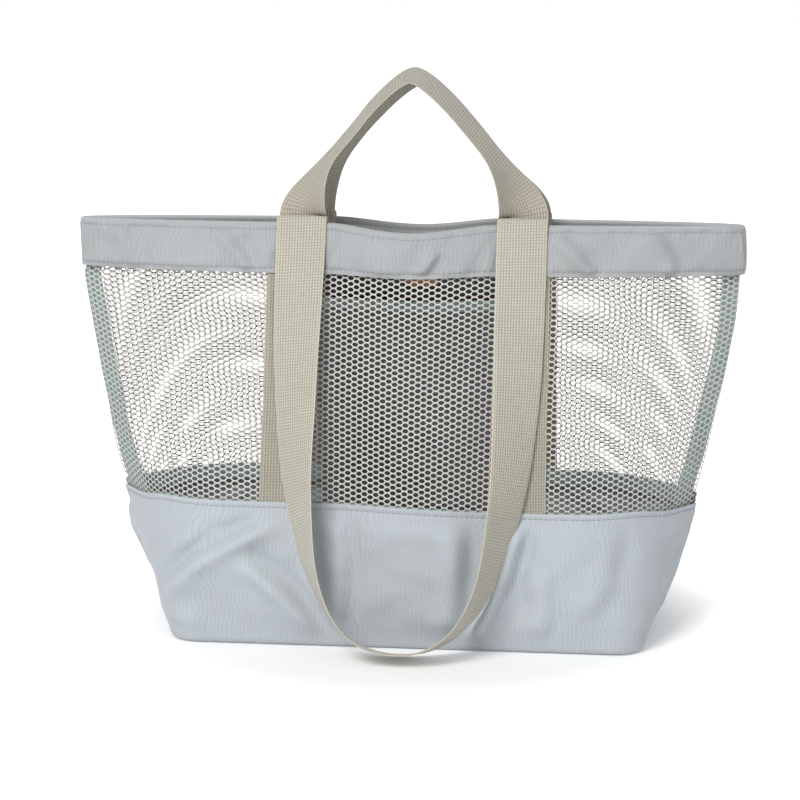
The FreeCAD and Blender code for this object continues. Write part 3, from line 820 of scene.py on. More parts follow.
def make_band(name, wall, seed):
    """Fabric folded over the net's top edge, with hems, puckered stitch rows and small folds."""
    size = wall.size
    lower, rim = size.rim_height - size.band_height, size.rim_height
    offset, height, out_offset, out_height = band_path(size)
    u = columns(2.2)
    along, up = np.meshgrid(u * size.rim_width / 2, height)
    outside = out_offset[:, None] > 0.3
    free = smooth((up - lower) / 5.0) * smooth((rim - 1.0 - up) / 6.0)
    relief = 3.4 * creases(along, up, BAND_FOLDS) + ripple(along, up, 42.0, 1.8, seed)
    relief = relief + ripple(along, up, 17.0, 0.45, seed)
    wave = 0.42 * np.sin(along / 2.1 + 1.7 * np.sin(along / 19.0))
    pucker = wave * (np.exp(-((up - lower - 4.0) / 4.0) ** 2) + np.exp(-((up - rim + 5.0) / 4.0) ** 2))
    leg = (np.abs(np.abs(along) - size.leg_spacing / 2) < size.webbing_width / 2 + 1.5)
    over_leg = leg * smooth((lower + 18.0 - up) / 3.0) * 0.35
    rise = np.where(outside, np.maximum((relief + 1.8) * free, -0.25) + pucker, 0.3 * pucker)
    from_handle = np.abs(np.abs(along) - size.handle_spacing / 2)
    behind_handle = smooth((7.0 - from_handle + size.webbing_width / 2) / 7.0)
    rise = rise * (1 - behind_handle)
    rise = rise + np.where(outside, over_leg, 0.0) * np.where(up > lower + 8.0, 1 - behind_handle, 1.0)
    dips = groove(up, lower + HEM_ROW, 0.7, 1.0) + groove(up, rim - RIM_ROW, 0.7, 1.0)
    edges = -0.3 * smooth((lower + 0.8 - up) / 0.8)
    move = rise + dips + edges
    move = move * np.where(np.abs(u)[None, :] > 0.992, 0.2, 1.0)

    def surface(depth):
        offsets = offset[:, None] + (move - depth) * out_offset[:, None]
        heights = height[:, None] + (move - depth) * out_height[:, None]
        return wall.point(u[None, :], np.broadcast_to(heights, along.shape), offsets)

    half_path = len(height) // 2
    for row in (lower + HEM_ROW, rim - RIM_ROW):
        for first, last, base in ((0, half_path, COVER_TOP), (half_path, len(height), LINING_FOOT)):
            near = [i for i in range(first, last) if abs(height[i] - row) < 0.6]
            side = 1.0 if base > 0 else -1.0
            add_seam("base_thread", wall.point(u, row, base + side * (move[near].mean(0) + 0.15)))
    end = 0.984 * (-1.0 if wall.back else 1.0)
    add_seam("base_thread", wall.point(end, np.linspace(lower + 2.0, rim - 3.0, 14), COVER_TOP + 0.35))
    path = np.concatenate([[0], np.cumsum(np.hypot(np.diff(offset), np.diff(height)))])
    # Paler along the top of the fold over the rim, a painted highlight where it faces the light, and along
    # the lower edge, partly wear and partly painted highlight.
    wear_and_highlight = np.exp(-((up - rim) / 1.6) ** 2) + 0.8 * np.exp(-((up - lower) / 1.0) ** 2)
    faces = surface(0.0), surface(BAND_CLOTH)
    return make_sheet(name, *faces, grid_uv(u, path), finish_of("band_fabric"), np.clip(wear_and_highlight, 0, 1))


# ---------------------------------------------------------------- webbing

WEBBING_STEPS = 18


def webbing_section(size):
    """Rounded cross section of webbing as (across, out) points: face, edge, back and other edge."""
    share = np.linspace(-1, 1, WEBBING_STEPS + 1)
    across = share * size.webbing_width / 2
    half = (size.webbing_thickness / 2) * (1 - 0.55 * np.abs(share) ** 14)
    nose = [[size.webbing_width / 2 + 0.2, 0.0]]
    face = np.concatenate([np.stack([across, half], 1), nose])
    return np.concatenate([face, np.negative(face)])


def make_webbing(name, middle, face, size, start=0.0, finish="webbing"):
    """Strip of webbing along middle points, turned so that its face looks towards face."""
    section = webbing_section(size)
    rings, count, steps = len(middle), len(section), WEBBING_STEPS
    run = np.gradient(middle, axis=0)
    run /= np.linalg.norm(run, axis=1, keepdims=True)
    face = face - run * np.sum(face * run, axis=1, keepdims=True)
    face /= np.linalg.norm(face, axis=1, keepdims=True)
    across = np.cross(run, face)
    points = middle[:, None] + section[None, :, :1] * across[:, None] + section[None, :, 1:] * face[:, None]
    travelled = start + np.concatenate([[0], np.cumsum(np.linalg.norm(np.diff(middle, axis=0), axis=1))])
    shape = (rings, count)
    uv = np.stack([np.broadcast_to(section[:, 0], shape), np.broadcast_to(travelled[:, None], shape)], -1)
    # The outermost millimetre of each edge is marked paler: a painted highlight along the selvedges.
    wear_and_highlight = np.broadcast_to(np.abs(section[:, 0]) > size.webbing_width / 2 - 1.0, shape)
    index = np.arange(rings * count).reshape(shape)
    following = np.roll(index, -1, axis=1)
    walls = np.stack([index[:-1], following[:-1], following[1:], index[1:]], -1).reshape(-1, 4)
    first = np.arange(steps)
    end = np.stack([first, first + 1, 2 * steps + 1 - first, 2 * steps + 2 - first], 1)
    tips = np.array([[steps, steps + 1, steps + 2], [2 * steps + 2, 2 * steps + 3, 0]])
    last = index[-1, 0]
    quads = np.concatenate([walls, end[:, ::-1], end + last])
    triangles = np.concatenate([tips[:, ::-1], tips + last])
    return make_piece(name, points.reshape(-1, 3), [quads, triangles], finish_of(finish),
                      uv.reshape(-1, 2), wear_and_highlight.ravel().astype(float), sharp=60.0)


def make_leg(name, wall, middle_x, seed):
    """Webbing sewn up the outside of the net, from under the base's edge to under the band."""
    size = wall.size
    half = size.webbing_width / 2
    share = np.linspace(-1, 1, WEBBING_STEPS + 1)
    heights = np.arange(size.base_height - 15.0, size.rim_height - size.band_height + 15.1, 3.0)
    across = middle_x + share * half
    u = np.array([wall.u_at(across, z) for z in heights])
    z = np.broadcast_to(heights[:, None], u.shape)
    wave = 0.12 * np.sin(z / 2.4 + middle_x) * (np.abs(share) > 0.8)
    crown = 0.35 * np.clip(ripple(u * 200.0, z, 60.0, 0.8, seed), -0.6, 1)
    crown = crown * smooth((z - 115) / 20) * smooth((276 - z) / 20)
    rounding = 0.5 * np.abs(share) ** 12
    outer = wall.point(u, z, LEG_FOOT + size.webbing_thickness - rounding + wave + crown)
    inner = wall.point(u, z, LEG_FOOT + 0.1 + 0.2 * rounding + wave * 0.5)
    uv = np.stack([np.broadcast_to(share * half, u.shape), z], -1)
    # The edges are marked paler: a painted highlight along the selvedges.
    wear_and_highlight = np.broadcast_to(np.abs(share) > 0.95, u.shape).astype(float)
    for edge in (-0.84, 0.84):
        column = middle_x + edge * half
        u_row = np.array([wall.u_at(column, value) for value in heights])
        add_seam("webbing_thread", wall.point(u_row, heights, LEG_FOOT + size.webbing_thickness + 0.1))
    # The legs take the darker webbing colour, which is painted shade.
    return make_sheet(name, outer, inner, uv, finish_of("leg_webbing_in_painted_shade"), wear_and_highlight)


# ---------------------------------------------------------------- handles

FOLD_GAP = 0.3
HANG_SPREAD = math.radians(1.6)
ROOT_LENGTH = 30.0
SHORT_HINGE_RISE = 6.0
SHORT_TWIST = math.radians(78.0)
SHORT_TWIST_REACH = 55.0
SHORT_SHOULDER, SHORT_CROWN = 0.24, 0.21
LONG_STRAIGHT = 25.0
LONG_TWIST = math.radians(93.0)
LONG_TWIST_POWER = 1.35
LONG_SHOULDER, LONG_CROWN = 0.60, 0.95
GRIP_GAP = 0.6
GROUND_GAP = 1.0


class Mouth:
    """Where the handles cross the rim: the wall's slope there, the fold's centre and its radius."""

    def __init__(self, wall):
        size = self.size = wall.size
        half = size.handle_spacing / 2
        edges = [half - size.webbing_width / 2, half, half + size.webbing_width / 2]
        at_rim = [wall.plan(np.array(x / (size.rim_width / 2)), np.array(size.rim_height))[1] for x in edges]
        band_foot = np.array(size.rim_height - size.band_height)
        below = wall.plan(np.array(size.handle_spacing / size.rim_width), band_foot)[1]
        self.lean = math.atan2(at_rim[1] - below, size.band_height)
        outside, inside = min(at_rim) - COVER_TOP, max(at_rim) - LINING_FOOT
        self.inner_radius = (inside - outside) / 2 + FOLD_GAP
        self.radius = self.inner_radius + size.webbing_thickness / 2
        self.centre = np.array([0.0, (inside + outside) / 2, size.rim_height])
        self.up = np.array([0.0, math.sin(self.lean), math.cos(self.lean)])
        self.out = np.array([0.0, -math.cos(self.lean), math.sin(self.lean)])
        self.short_offset = self.inner_radius + 1.5 * size.webbing_thickness + FOLD_GAP
        self.short_hinge = self.at(-self.short_offset, SHORT_HINGE_RISE)

    def at(self, out, up):
        """Point at distances out from and up from the fold's centre, along the leaning wall."""
        return self.centre + np.multiply.outer(out, self.out) + np.multiply.outer(up, self.up)


def bezier(p0, p1, p2, p3, count):
    t = np.linspace(0, 1, count)[:, None]
    return ((1 - t) ** 3 * p0 + 3 * (1 - t) ** 2 * t * p1 + 3 * (1 - t) * t ** 2 * p2 + t ** 3 * p3)


def whole_loop(half):
    """A half line from its end to its crown, and its mirror."""
    return np.concatenate([half, half[-2::-1] * np.array([-1.0, 1.0])])


def short_turn(height):
    share = np.clip(height / SHORT_TWIST_REACH, 0.0, 1.0)
    return SHORT_TWIST * share * (2.0 - share)


def long_turn(depth):
    return LONG_TWIST * (depth / depth.max()) ** LONG_TWIST_POWER


def loop_frames(line, origin, up, front, turn):
    """Middle points and face directions of a loop whose line is (x, height) in the plane of X and up."""
    step = np.gradient(line, axis=0)
    step[[0, -1], 0] = 0.0
    step /= np.linalg.norm(step, axis=1, keepdims=True)
    side = np.array([1.0, 0.0, 0.0])
    outwards = np.outer(step[:, 1], side) - np.outer(step[:, 0], up)
    angle = turn(line[:, 1])
    face = np.cos(angle)[:, None] * front + np.sin(angle)[:, None] * outwards
    return origin + np.outer(line[:, 0], side) + np.outer(line[:, 1], up), face


def short_line(size, rise):
    half = size.handle_spacing / 2
    corners = np.array([[half, 0.0], [half, rise * SHORT_SHOULDER], [half * SHORT_CROWN, rise], [0.0, rise]])
    return whole_loop(bezier(*corners, 61))


def grip_lean(mouth, line):
    """Lean at which a standing loop's innermost corner stops short of the middle of the mouth."""
    size = mouth.size
    middle, face = loop_frames(line, np.zeros(3), np.array([0.0, 0, 1]), np.array([0.0, -1, 0]), short_turn)
    run = np.gradient(middle, axis=0)
    across = np.cross(run / np.linalg.norm(run, axis=1, keepdims=True), face)
    leans = []
    room = -mouth.short_hinge[1] - GRIP_GAP / 2
    for a in (-size.webbing_width / 2, size.webbing_width / 2):
        corner = middle + across * a - face * size.webbing_thickness / 2
        reach = np.hypot(corner[:, 1], corner[:, 2])
        far = reach > room
        leans.append(np.min(np.arcsin(room / reach[far]) - np.arctan2(corner[far, 1], corner[far, 2])))
    return min(leans)


def turned_back(points):
    """The same points or directions on the back wall."""
    return points * np.array([-1.0, -1.0, 1.0])


def make_short_handle(side, back):
    """Standing handle, from its root sewn inside the band, over its grip, to its other root."""
    wall = Wall(False)
    mouth = Mouth(wall)
    size = mouth.size
    rise = size.back_grip_rise if back else size.front_grip_rise
    line = short_line(size, rise)
    lean = grip_lean(mouth, line)
    up = np.array([0.0, math.sin(lean), math.cos(lean)])
    front = np.array([0.0, -math.cos(lean), math.sin(lean)])
    middle, face = loop_frames(line, mouth.short_hinge, up, front, short_turn)
    rise_in_band = np.linspace(-ROOT_LENGTH, SHORT_HINGE_RISE - 1.5, 14)
    root = mouth.at(np.full(len(rise_in_band), -mouth.short_offset), rise_in_band)
    root_face = np.broadcast_to(mouth.out, root.shape)
    right, left = root.copy(), root[::-1].copy()
    right[:, 0], left[:, 0] = size.handle_spacing / 2, -size.handle_spacing / 2
    middle = np.concatenate([right, middle[1:-1], left])
    face = np.concatenate([root_face, face[1:-1], root_face])
    sway = ripple(middle[:, 0] + 40.0 * back, middle[:, 2], 46.0, 0.35, 51 + back)
    above_rim = middle[:, 2] - size.rim_height
    free = smooth((above_rim - 12.0) / 15.0) * smooth((92.0 - above_rim) / 15.0)
    middle = middle + face * (sway * free)[:, None]
    if back:
        middle, face = turned_back(middle), turned_back(face)
    # The standing handles take the darker webbing colour, which is painted shade.
    piece = make_webbing(side + "_short_handle_webbing", middle, face, size, finish="standing_webbing_in_painted_shade")
    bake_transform(piece)
    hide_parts(side + "_short_handle", side + "_short_handle_roots")
    return piece


def long_line(mouth):
    """Half line of the hanging loop, as (x, distance down), and the slope of the plane that it hangs in."""
    size = mouth.size
    lean = mouth.lean + HANG_SPREAD
    start = mouth.at(mouth.radius * math.cos(HANG_SPREAD), mouth.radius * math.sin(HANG_SPREAD))
    tilt = LONG_TWIST - lean
    edge = size.webbing_width / 2 * math.cos(tilt) + size.webbing_thickness / 2 * math.sin(tilt)
    drop = (start[2] - GROUND_GAP - edge) / math.cos(lean)
    half = size.handle_spacing / 2
    shoulder = LONG_STRAIGHT + (drop - LONG_STRAIGHT) * LONG_SHOULDER
    straight = np.stack([np.full(12, half), np.linspace(FOLD_GAP, LONG_STRAIGHT, 13)[:-1]], 1)
    corners = np.array([[half, LONG_STRAIGHT], [half, shoulder], [half * LONG_CROWN, drop], [0.0, drop]])
    return whole_loop(np.concatenate([straight, bezier(*corners, 121)])), start, lean


def make_long_handle(side, back):
    """Long handle that folds over the rim and hangs outside, with its roots as pieces of their own."""
    mouth = Mouth(Wall(False))
    size = mouth.size
    line, start, lean = long_line(mouth)
    down = np.array([0.0, -math.sin(lean), -math.cos(lean)])
    front = np.array([0.0, -math.cos(lean), math.sin(lean)])
    middle, face = loop_frames(line, start, down, front, long_turn)
    travelled = np.concatenate([[0], np.cumsum(np.linalg.norm(np.diff(middle, axis=0), axis=1))])
    free = smooth((line[:, 1] - 12.0) / 40.0) * smooth((line[:, 1].max() - 20.0 - line[:, 1]) / 60.0)
    sway = 0.9 + ripple(travelled, np.zeros(len(travelled)), 120.0, 0.7, 61 + back)
    middle = middle + face * (np.maximum(sway, 0.0) * free)[:, None]
    turn = np.linspace(math.pi, HANG_SPREAD, 21)
    fold = mouth.at(mouth.radius * np.cos(turn), mouth.radius * np.sin(turn))
    fold_face = np.outer(np.cos(turn), mouth.out) + np.outer(np.sin(turn), mouth.up)
    right, left = fold.copy(), fold[::-1].copy()
    right[:, 0], left[:, 0] = size.handle_spacing / 2, -size.handle_spacing / 2
    whole = np.concatenate([right, middle, left])
    whole_face = np.concatenate([fold_face, face, fold_face[::-1]])
    if back:
        whole, whole_face = turned_back(whole), turned_back(whole_face)
    piece = make_webbing(side + "_long_handle_webbing", whole, whole_face, size)
    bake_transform(piece)
    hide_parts(side + "_long_handle", side + "_long_handle_folds")
    for end, x in (("right", size.handle_spacing / 2), ("left", -size.handle_spacing / 2)):
        depth = np.linspace(-ROOT_LENGTH, 0.0, 12)
        root = mouth.at(np.full(12, -mouth.radius), depth)
        root[:, 0] = x
        root_face = np.broadcast_to(-mouth.out, root.shape)
        if back:
            root, root_face = turned_back(root), turned_back(root_face)
        tail = make_webbing(f"{side}_long_handle_{end}_root", root, root_face, size, -ROOT_LENGTH)
        fix_to_bag(tail, "webbing")


# ---------------------------------------------------------------- pocket and tapes

def strip_grid(wall, x_from, x_to, heights, offset_at, count):
    """Grid on a wall between two values of x, with an offset for each point, and its cloth coordinates."""
    across = np.linspace(x_from, x_to, count)
    u = np.array([wall.u_at(across, z) for z in heights])
    z = np.broadcast_to(np.asarray(heights, float)[:, None], u.shape)
    x = np.broadcast_to(across, u.shape)
    return wall.point(u, z, offset_at(x, z)), np.stack([x, z], -1), (u, z, x)


def pocket_sag(x, z, width, foot, top, depth=19.0):
    """How far the pocket's front stands off the wall: most at the middle of its mouth."""
    return depth * np.cos(math.pi * x / width) ** 2 * (z - foot) / (top - foot)


def make_pocket():
    """Pocket inside the back wall: a backing sheet, a front sheet that sags, its bound mouth, and the tab."""
    wall = Wall(True)
    size = wall.size
    width = (POCKET_HIGH[0] - POCKET_LOW[0]) / MM
    foot, top = POCKET_LOW[2] / MM, POCKET_HIGH[2] / MM
    half = width / 2
    under_band = size.rim_height - size.band_height - 1.0

    heights = np.linspace(foot, under_band, 60)
    def backing_offset(depth):
        return lambda x, z: POCKET_BACK_TOP - depth - 0.06 * (1 + np.sin(x / 3.1 + z / 17.0))
    outer, uv, _ = strip_grid(wall, -half, half, heights, backing_offset(0.1), 60)
    inner, _, _ = strip_grid(wall, -half, half, heights, backing_offset(0.8), 60)
    # The backing's near-black colour is painted shade.
    back = make_sheet("pocket_backing", outer, inner, uv, finish_of("pocket_back_in_painted_shade"))

    heights = np.linspace(foot, top, 60)
    def front_offset(depth):
        def offset(x, z):
            slack = ripple(x, z, 40.0, 0.8, 71) * np.cos(math.pi * x / width) ** 2 * smooth((z - foot) / 30)
            return POCKET_FRONT_TOP - depth - pocket_sag(x, z, width, foot, top) + np.minimum(slack, 0.2)
        return offset
    outer, uv, _ = strip_grid(wall, -half, half, heights, front_offset(0.1), 64)
    inner, _, _ = strip_grid(wall, -half, half, heights, front_offset(0.85), 64)
    wear_and_highlight = np.exp(-((uv[..., 1] - foot) / 1.5) ** 2)
    # The front sheet's dark colour is painted shade inside the bag.
    front = make_sheet("pocket_front", outer, inner, uv, finish_of("pocket_fabric"), wear_and_highlight)

    hem = (BINDING_HIGH[2] - BINDING_LOW[2]) / MM
    heights = np.linspace(top - hem, top, 7)
    def binding_offset(depth):
        def offset(x, z):
            wave = 0.15 * np.sin(x / 2.0)
            return BINDING_TOP - depth - pocket_sag(x, z, width, foot, top) + wave
        return offset
    outer, uv, _ = strip_grid(wall, -half, half, heights, binding_offset(0.0), 70)
    inner, _, _ = strip_grid(wall, -half, half, heights, binding_offset(0.8), 70)
    uv = uv[..., ::-1]
    binding = make_sheet("pocket_binding", outer, inner, uv, finish_of("seam_tape"))
    row = strip_grid(wall, -half + 2, half - 2, [top - hem + 2.0], binding_offset(0.95), 90)[0][0]
    add_seam("tape_thread", row)

    tab_width = (TAB_HIGH[0] - TAB_LOW[0]) / MM
    low, high = TAB_LOW[2] / MM, TAB_HIGH[2] / MM
    heights = np.linspace(low, high, 13)
    def tab_offset(depth):
        def offset(x, z):
            edge = (np.abs(x) / (tab_width / 2)) ** 10 + (np.abs(high - z) / (high - low)) ** 14
            return POCKET_FRONT_TOP - depth - (1.2 * (high - z) / (high - low)) - 0.25 * (0.5 - depth) * edge
        return offset
    outer, uv, _ = strip_grid(wall, -tab_width / 2, tab_width / 2, heights, tab_offset(0.0), 19)
    inner, _, _ = strip_grid(wall, -tab_width / 2, tab_width / 2, heights, tab_offset(1.3), 19)
    rim = np.maximum(np.abs(uv[..., 0]) / (tab_width / 2), (high - uv[..., 1]) / (high - low))
    tab = make_sheet("inside_tab", outer, inner, uv, finish_of("tab"), smooth((rim - 0.9) / 0.1))
    add_seam("webbing_thread", strip_grid(wall, -12.0, 12.0, [high - 3.0], tab_offset(1.5), 30)[0][0])
    for edge in (-half + 1.6, half - 1.6):
        rising = np.linspace(foot + 2, top - hem - 1, 60)
        side_row = [strip_grid(wall, edge, edge + 0.1, [z], front_offset(1.0), 2)[0][0][0] for z in rising]
        add_seam("pocket_thread", np.array(side_row))
    foot_row = strip_grid(wall, -half + 2, half - 2, [foot + 2.0], front_offset(1.0), 90)[0][0]
    add_seam("pocket_thread", foot_row)
    return back, front, binding, tab


def make_tape_strip(name, lines, thickness, seed):
    """Folded tape between two edge lines of points: a little thicker at its fold, with a wavy free edge."""
    outer_line, inner_line, normal = lines
    share = np.linspace(0, 1, 8)[None, :, None]
    grid = outer_line[:, None] * (1 - share) + inner_line[:, None] * share
    along = np.concatenate([[0], np.cumsum(np.linalg.norm(np.diff(outer_line, axis=0), axis=1))])
    wave = 0.5 * ripple(along, np.zeros(len(along)), 38.0, 0.7, seed)[:, None] * share[0, :, 0] ** 2
    half = thickness / 2 * (1 - 0.4 * np.abs(2 * share[0, :, 0] - 1) ** 6)
    move = wave[:, :, None] * normal
    face = grid + move + half[None, :, None] * normal
    behind = grid + move - half[None, :, None] * normal
    width = np.linalg.norm(inner_line[0] - outer_line[0])
    uv = np.stack(np.broadcast_arrays(share[0, :, 0] * width, along[:, None]), -1)
    right = np.cross(inner_line[0] - outer_line[0], outer_line[1] - outer_line[0])
    if np.dot(right, normal) < 0:
        face, behind = behind, face
    for surface in (face, behind):
        add_seam("tape_thread", surface[:, 5] * 0.5 + surface[:, 6] * 0.5)
    return make_sheet(name, face, behind, uv, finish_of("seam_tape"))


def make_side_tape(name, side, seed):
    """Bound seam allowance that stands inwards from a side seam."""
    size = pattern()
    wall = Wall(False)
    z = np.linspace(3.0, size.rim_height - 9.0, 110)
    x = wall.plan(np.ones(len(z)), z)[0] - 0.8
    edges = []
    for shift in (0.0, size.tape_width):
        line = np.stack([side * (x - shift), np.zeros(len(z)), z], 1)
        edges.append(settle(line, size, np.zeros(len(z))))
    return make_tape_strip(name, (edges[0], edges[1], np.array([0.0, -1.0, 0.0])), 1.6, seed)


def make_gusset_tape(name, side, seed):
    """Bound allowance of the seam that boxes the bottom's end."""
    size = pattern()
    y = np.linspace(-1, 1, 40) * (size.base_depth / 2 - 16.0)
    edges = []
    for inset in (9.5, 9.5 + size.tape_width - 6.5):
        x = side * (size.base_length / 2 - inset)
        edges.append(np.stack([np.full(len(y), x), y, np.full(len(y), 3.6)], 1))
    return make_tape_strip(name, (edges[0], edges[1], np.array([0.0, 0.0, 1.0])), 0.9, seed)


def make_base_tape(name, wall):
    """Tape along the inside of the seam between the base and the net."""
    size = wall.size
    middle = size.base_height - 6.0
    heights = np.linspace(middle - size.tape_width / 2, middle + size.tape_width / 2, 7)
    u = columns(2.5, math.sin(math.radians(78.0)))
    along, up = np.meshgrid(u * size.rim_width / 2, heights)
    wave = 0.2 * np.sin(along / 2.2 + np.sin(along / 17.0)) + 0.1
    edge = 0.25 * (np.abs(up - middle) / (size.tape_width / 2)) ** 6
    outer = wall.point(u[None, :], heights[:, None], LINING_TOP - 0.1 - 0.1 * wave - 0.2 * edge)
    inner = wall.point(u[None, :], heights[:, None], LINING_TOP - 1.0 - wave + edge)
    for row in (middle - size.tape_width / 2 + 1.8, middle + size.tape_width / 2 - 1.8):
        add_seam("tape_thread", wall.point(u, row, LINING_TOP - 1.1 - wave[0]))
    uv = np.stack([up, along], -1)
    return make_sheet(name, outer, inner, uv, finish_of("seam_tape"))


# ---------------------------------------------------------------- stitches

SEAMS = {}


def add_seam(thread, points):
    """Keeps a line of points in millimetres to be stitched in that thread."""
    SEAMS.setdefault(thread, []).append(np.asarray(points, float))


def stitch_tree():
    """Geometry Nodes: short rounded stitches, a pitch apart, along the edges of a mesh."""
    tree = bpy.data.node_groups.new("Rows of stitches", "GeometryNodeTree")
    for name, kind in (("Geometry", "Geometry"), ("Pitch", "Float"), ("Length", "Float"), ("Thread", "Float"),
                       ("Finish", "Material")):
        tree.interface.new_socket(name=name, in_out="INPUT", socket_type="NodeSocket" + kind)
    tree.interface.new_socket(name="Geometry", in_out="OUTPUT", socket_type="NodeSocketGeometry")

    def node(kind, values=None, **settings):
        return add_node(tree, kind, values, **settings)

    def link(first, output, second, socket):
        tree.links.new(first.outputs[output], second.inputs[socket])

    given, result = node("NodeGroupInput"), node("NodeGroupOutput")
    curve = node("GeometryNodeMeshToCurve")
    spaced = node("GeometryNodeResampleCurve", mode="LENGTH")
    tangent = node("GeometryNodeInputTangent")
    aim = node("FunctionNodeAlignRotationToVector", axis="Z")
    bead = node("GeometryNodeMeshUVSphere", {"Segments": 6, "Rings": 4, "Radius": 1.0})
    scale = node("ShaderNodeCombineXYZ")
    halves = []
    for name in ("Thread", "Length"):
        half = node("ShaderNodeMath", {1: 0.5}, operation="MULTIPLY")
        link(given, name, half, 0)
        halves.append(half)
    shaped = node("GeometryNodeTransform")
    placed = node("GeometryNodeInstanceOnPoints")
    real = node("GeometryNodeRealizeInstances")
    soft = node("GeometryNodeSetShadeSmooth")
    finish = node("GeometryNodeSetMaterial")
    link(given, "Geometry", curve, "Mesh")
    link(curve, "Curve", spaced, "Curve")
    link(given, "Pitch", spaced, "Length")
    link(tangent, "Tangent", aim, "Vector")
    link(halves[0], 0, scale, "X")
    link(halves[0], 0, scale, "Y")
    link(halves[1], 0, scale, "Z")
    link(bead, "Mesh", shaped, "Geometry")
    link(scale, 0, shaped, "Scale")
    link(spaced, "Curve", placed, "Points")
    link(shaped, "Geometry", placed, "Instance")
    link(aim, "Rotation", placed, "Rotation")
    link(placed, "Instances", real, "Geometry")
    link(real, "Geometry", soft, "Geometry")
    link(soft, "Geometry", finish, "Geometry")
    link(given, "Finish", finish, "Material")
    link(finish, "Geometry", result, "Geometry")
    return tree


def make_stitches(thread, lines, tree):
    """Stitches along those lines as one plain mesh."""
    size = bpy.context.scene.beach_bag_sizes
    points = np.concatenate(lines) * MM
    edges, first = [], 0
    for line in lines:
        index = np.arange(first, first + len(line) - 1)
        edges.append(np.stack([index, index + 1], 1))
        first += len(line)
    guide = bpy.data.meshes.new(thread + "_guide")
    guide.from_pydata(points.tolist(), np.concatenate(edges).tolist(), [])
    holder = bpy.data.objects.new(thread + "_guide", guide)
    bpy.context.scene.collection.objects.link(holder)
    modifier = holder.modifiers.new("Stitches", "NODES")
    modifier.node_group = tree
    sockets = {item.name: item.identifier for item in tree.interface.items_tree if item.in_out == "INPUT"}
    modifier[sockets["Pitch"]] = size.stitch_pitch
    modifier[sockets["Length"]] = size.stitch_length
    modifier[sockets["Thread"]] = size.thread
    modifier[sockets["Finish"]] = finish_of(thread)
    evaluated = holder.evaluated_get(bpy.context.evaluated_depsgraph_get())
    mesh = bpy.data.meshes.new_from_object(evaluated)
    mesh.name = thread.replace("_thread", "_stitches")
    bpy.data.objects.remove(holder)
    piece = bpy.data.objects.new(mesh.name, mesh)
    bpy.context.scene.collection.objects.link(piece)
    return piece


# ---------------------------------------------------------------- stage

CAMERA_DISTANCE = 2.0
CAMERA_HEIGHT = 0.538
CAMERA_TURN = math.radians(6.92)
CAMERA_PITCH = math.radians(10.19)
CAMERA_SIDE = -0.0121
LENS = 116.5

# Light: world strengths, the floor's painted glow near the bag and away from it, and where that fades; faint
# glow near the bag leaves a painted grey patch, strong glow further out paints the bag's shadow out to white
AMBIENT = 0.42
NEAR_LIFT, FAR_LIFT = 0.13, 0.85
LIFT_FROM, LIFT_TO = 0.17, 0.31
FLOOR_REACH = 12.0
LIGHT_TARGET = (0.0, 0.0, 0.2)
KEY_PLACE, KEY_POWER, KEY_WIDTH = (-0.9, -2.3, 2.2), 68.0, 1.3
FILL_PLACE, FILL_POWER, FILL_WIDTH = (2.0, -1.6, 1.2), 9.0, 1.6


def make_camera():
    right = np.array([math.cos(CAMERA_TURN), math.sin(CAMERA_TURN), 0.0])
    back = np.array([math.sin(CAMERA_TURN), -math.cos(CAMERA_TURN), 0.0])
    data = bpy.data.cameras.new("Camera")
    data.lens = LENS
    data.sensor_width = 36.0
    data.clip_end = 50.0
    camera = bpy.data.objects.new("Camera", data)
    camera.location = back * CAMERA_DISTANCE + right * CAMERA_SIDE + np.array([0.0, 0.0, CAMERA_HEIGHT])
    camera.rotation_euler = (math.pi / 2 - CAMERA_PITCH, 0.0, CAMERA_TURN)
    bpy.context.scene.collection.objects.link(camera)
    bpy.context.scene.camera = camera


def make_lamp(name, place_at, target, power, width):
    data = bpy.data.lights.new(name, "AREA")
    data.energy = power
    data.size = width
    lamp = bpy.data.objects.new(name, data)
    lamp.location = place_at
    aim = np.array(target) - np.array(place_at)
    flat = math.hypot(aim[0], aim[1])
    lamp.rotation_euler = (math.atan2(flat, -aim[2]), 0.0, math.atan2(-aim[0], aim[1]))
    bpy.context.scene.collection.objects.link(lamp)


def seen_plainly(tree):
    """1 for rays from the camera, off glossy surfaces and through clear ones, and 0 for the light itself."""
    path = add_node(tree, "ShaderNodeLightPath")
    total = None
    for ray in ("Is Camera Ray", "Is Glossy Ray", "Is Transmission Ray"):
        if total is None:
            total = path.outputs[ray]
            continue
        values = {0: total, 1: path.outputs[ray]}
        total = add_node(tree, "ShaderNodeMath", values, operation="MAXIMUM").outputs[0]
    return total


def make_world(light):
    world = bpy.data.worlds.new("Studio")
    bpy.context.scene.world = world
    world.use_nodes = True
    tree = world.node_tree
    ambient = tree.nodes["Background"]
    ambient.inputs["Color"].default_value = (0.94, 0.97, 1.0, 1.0)
    ambient.inputs["Strength"].default_value = light
    white = add_node(tree, "ShaderNodeBackground", {"Color": (1.0, 1.0, 1.0, 1.0), "Strength": 1.0})
    values = {0: seen_plainly(tree), 1: ambient.outputs[0], 2: white.outputs[0]}
    mix = add_node(tree, "ShaderNodeMixShader", values)
    tree.links.new(mix.outputs[0], tree.nodes["World Output"].inputs["Surface"])


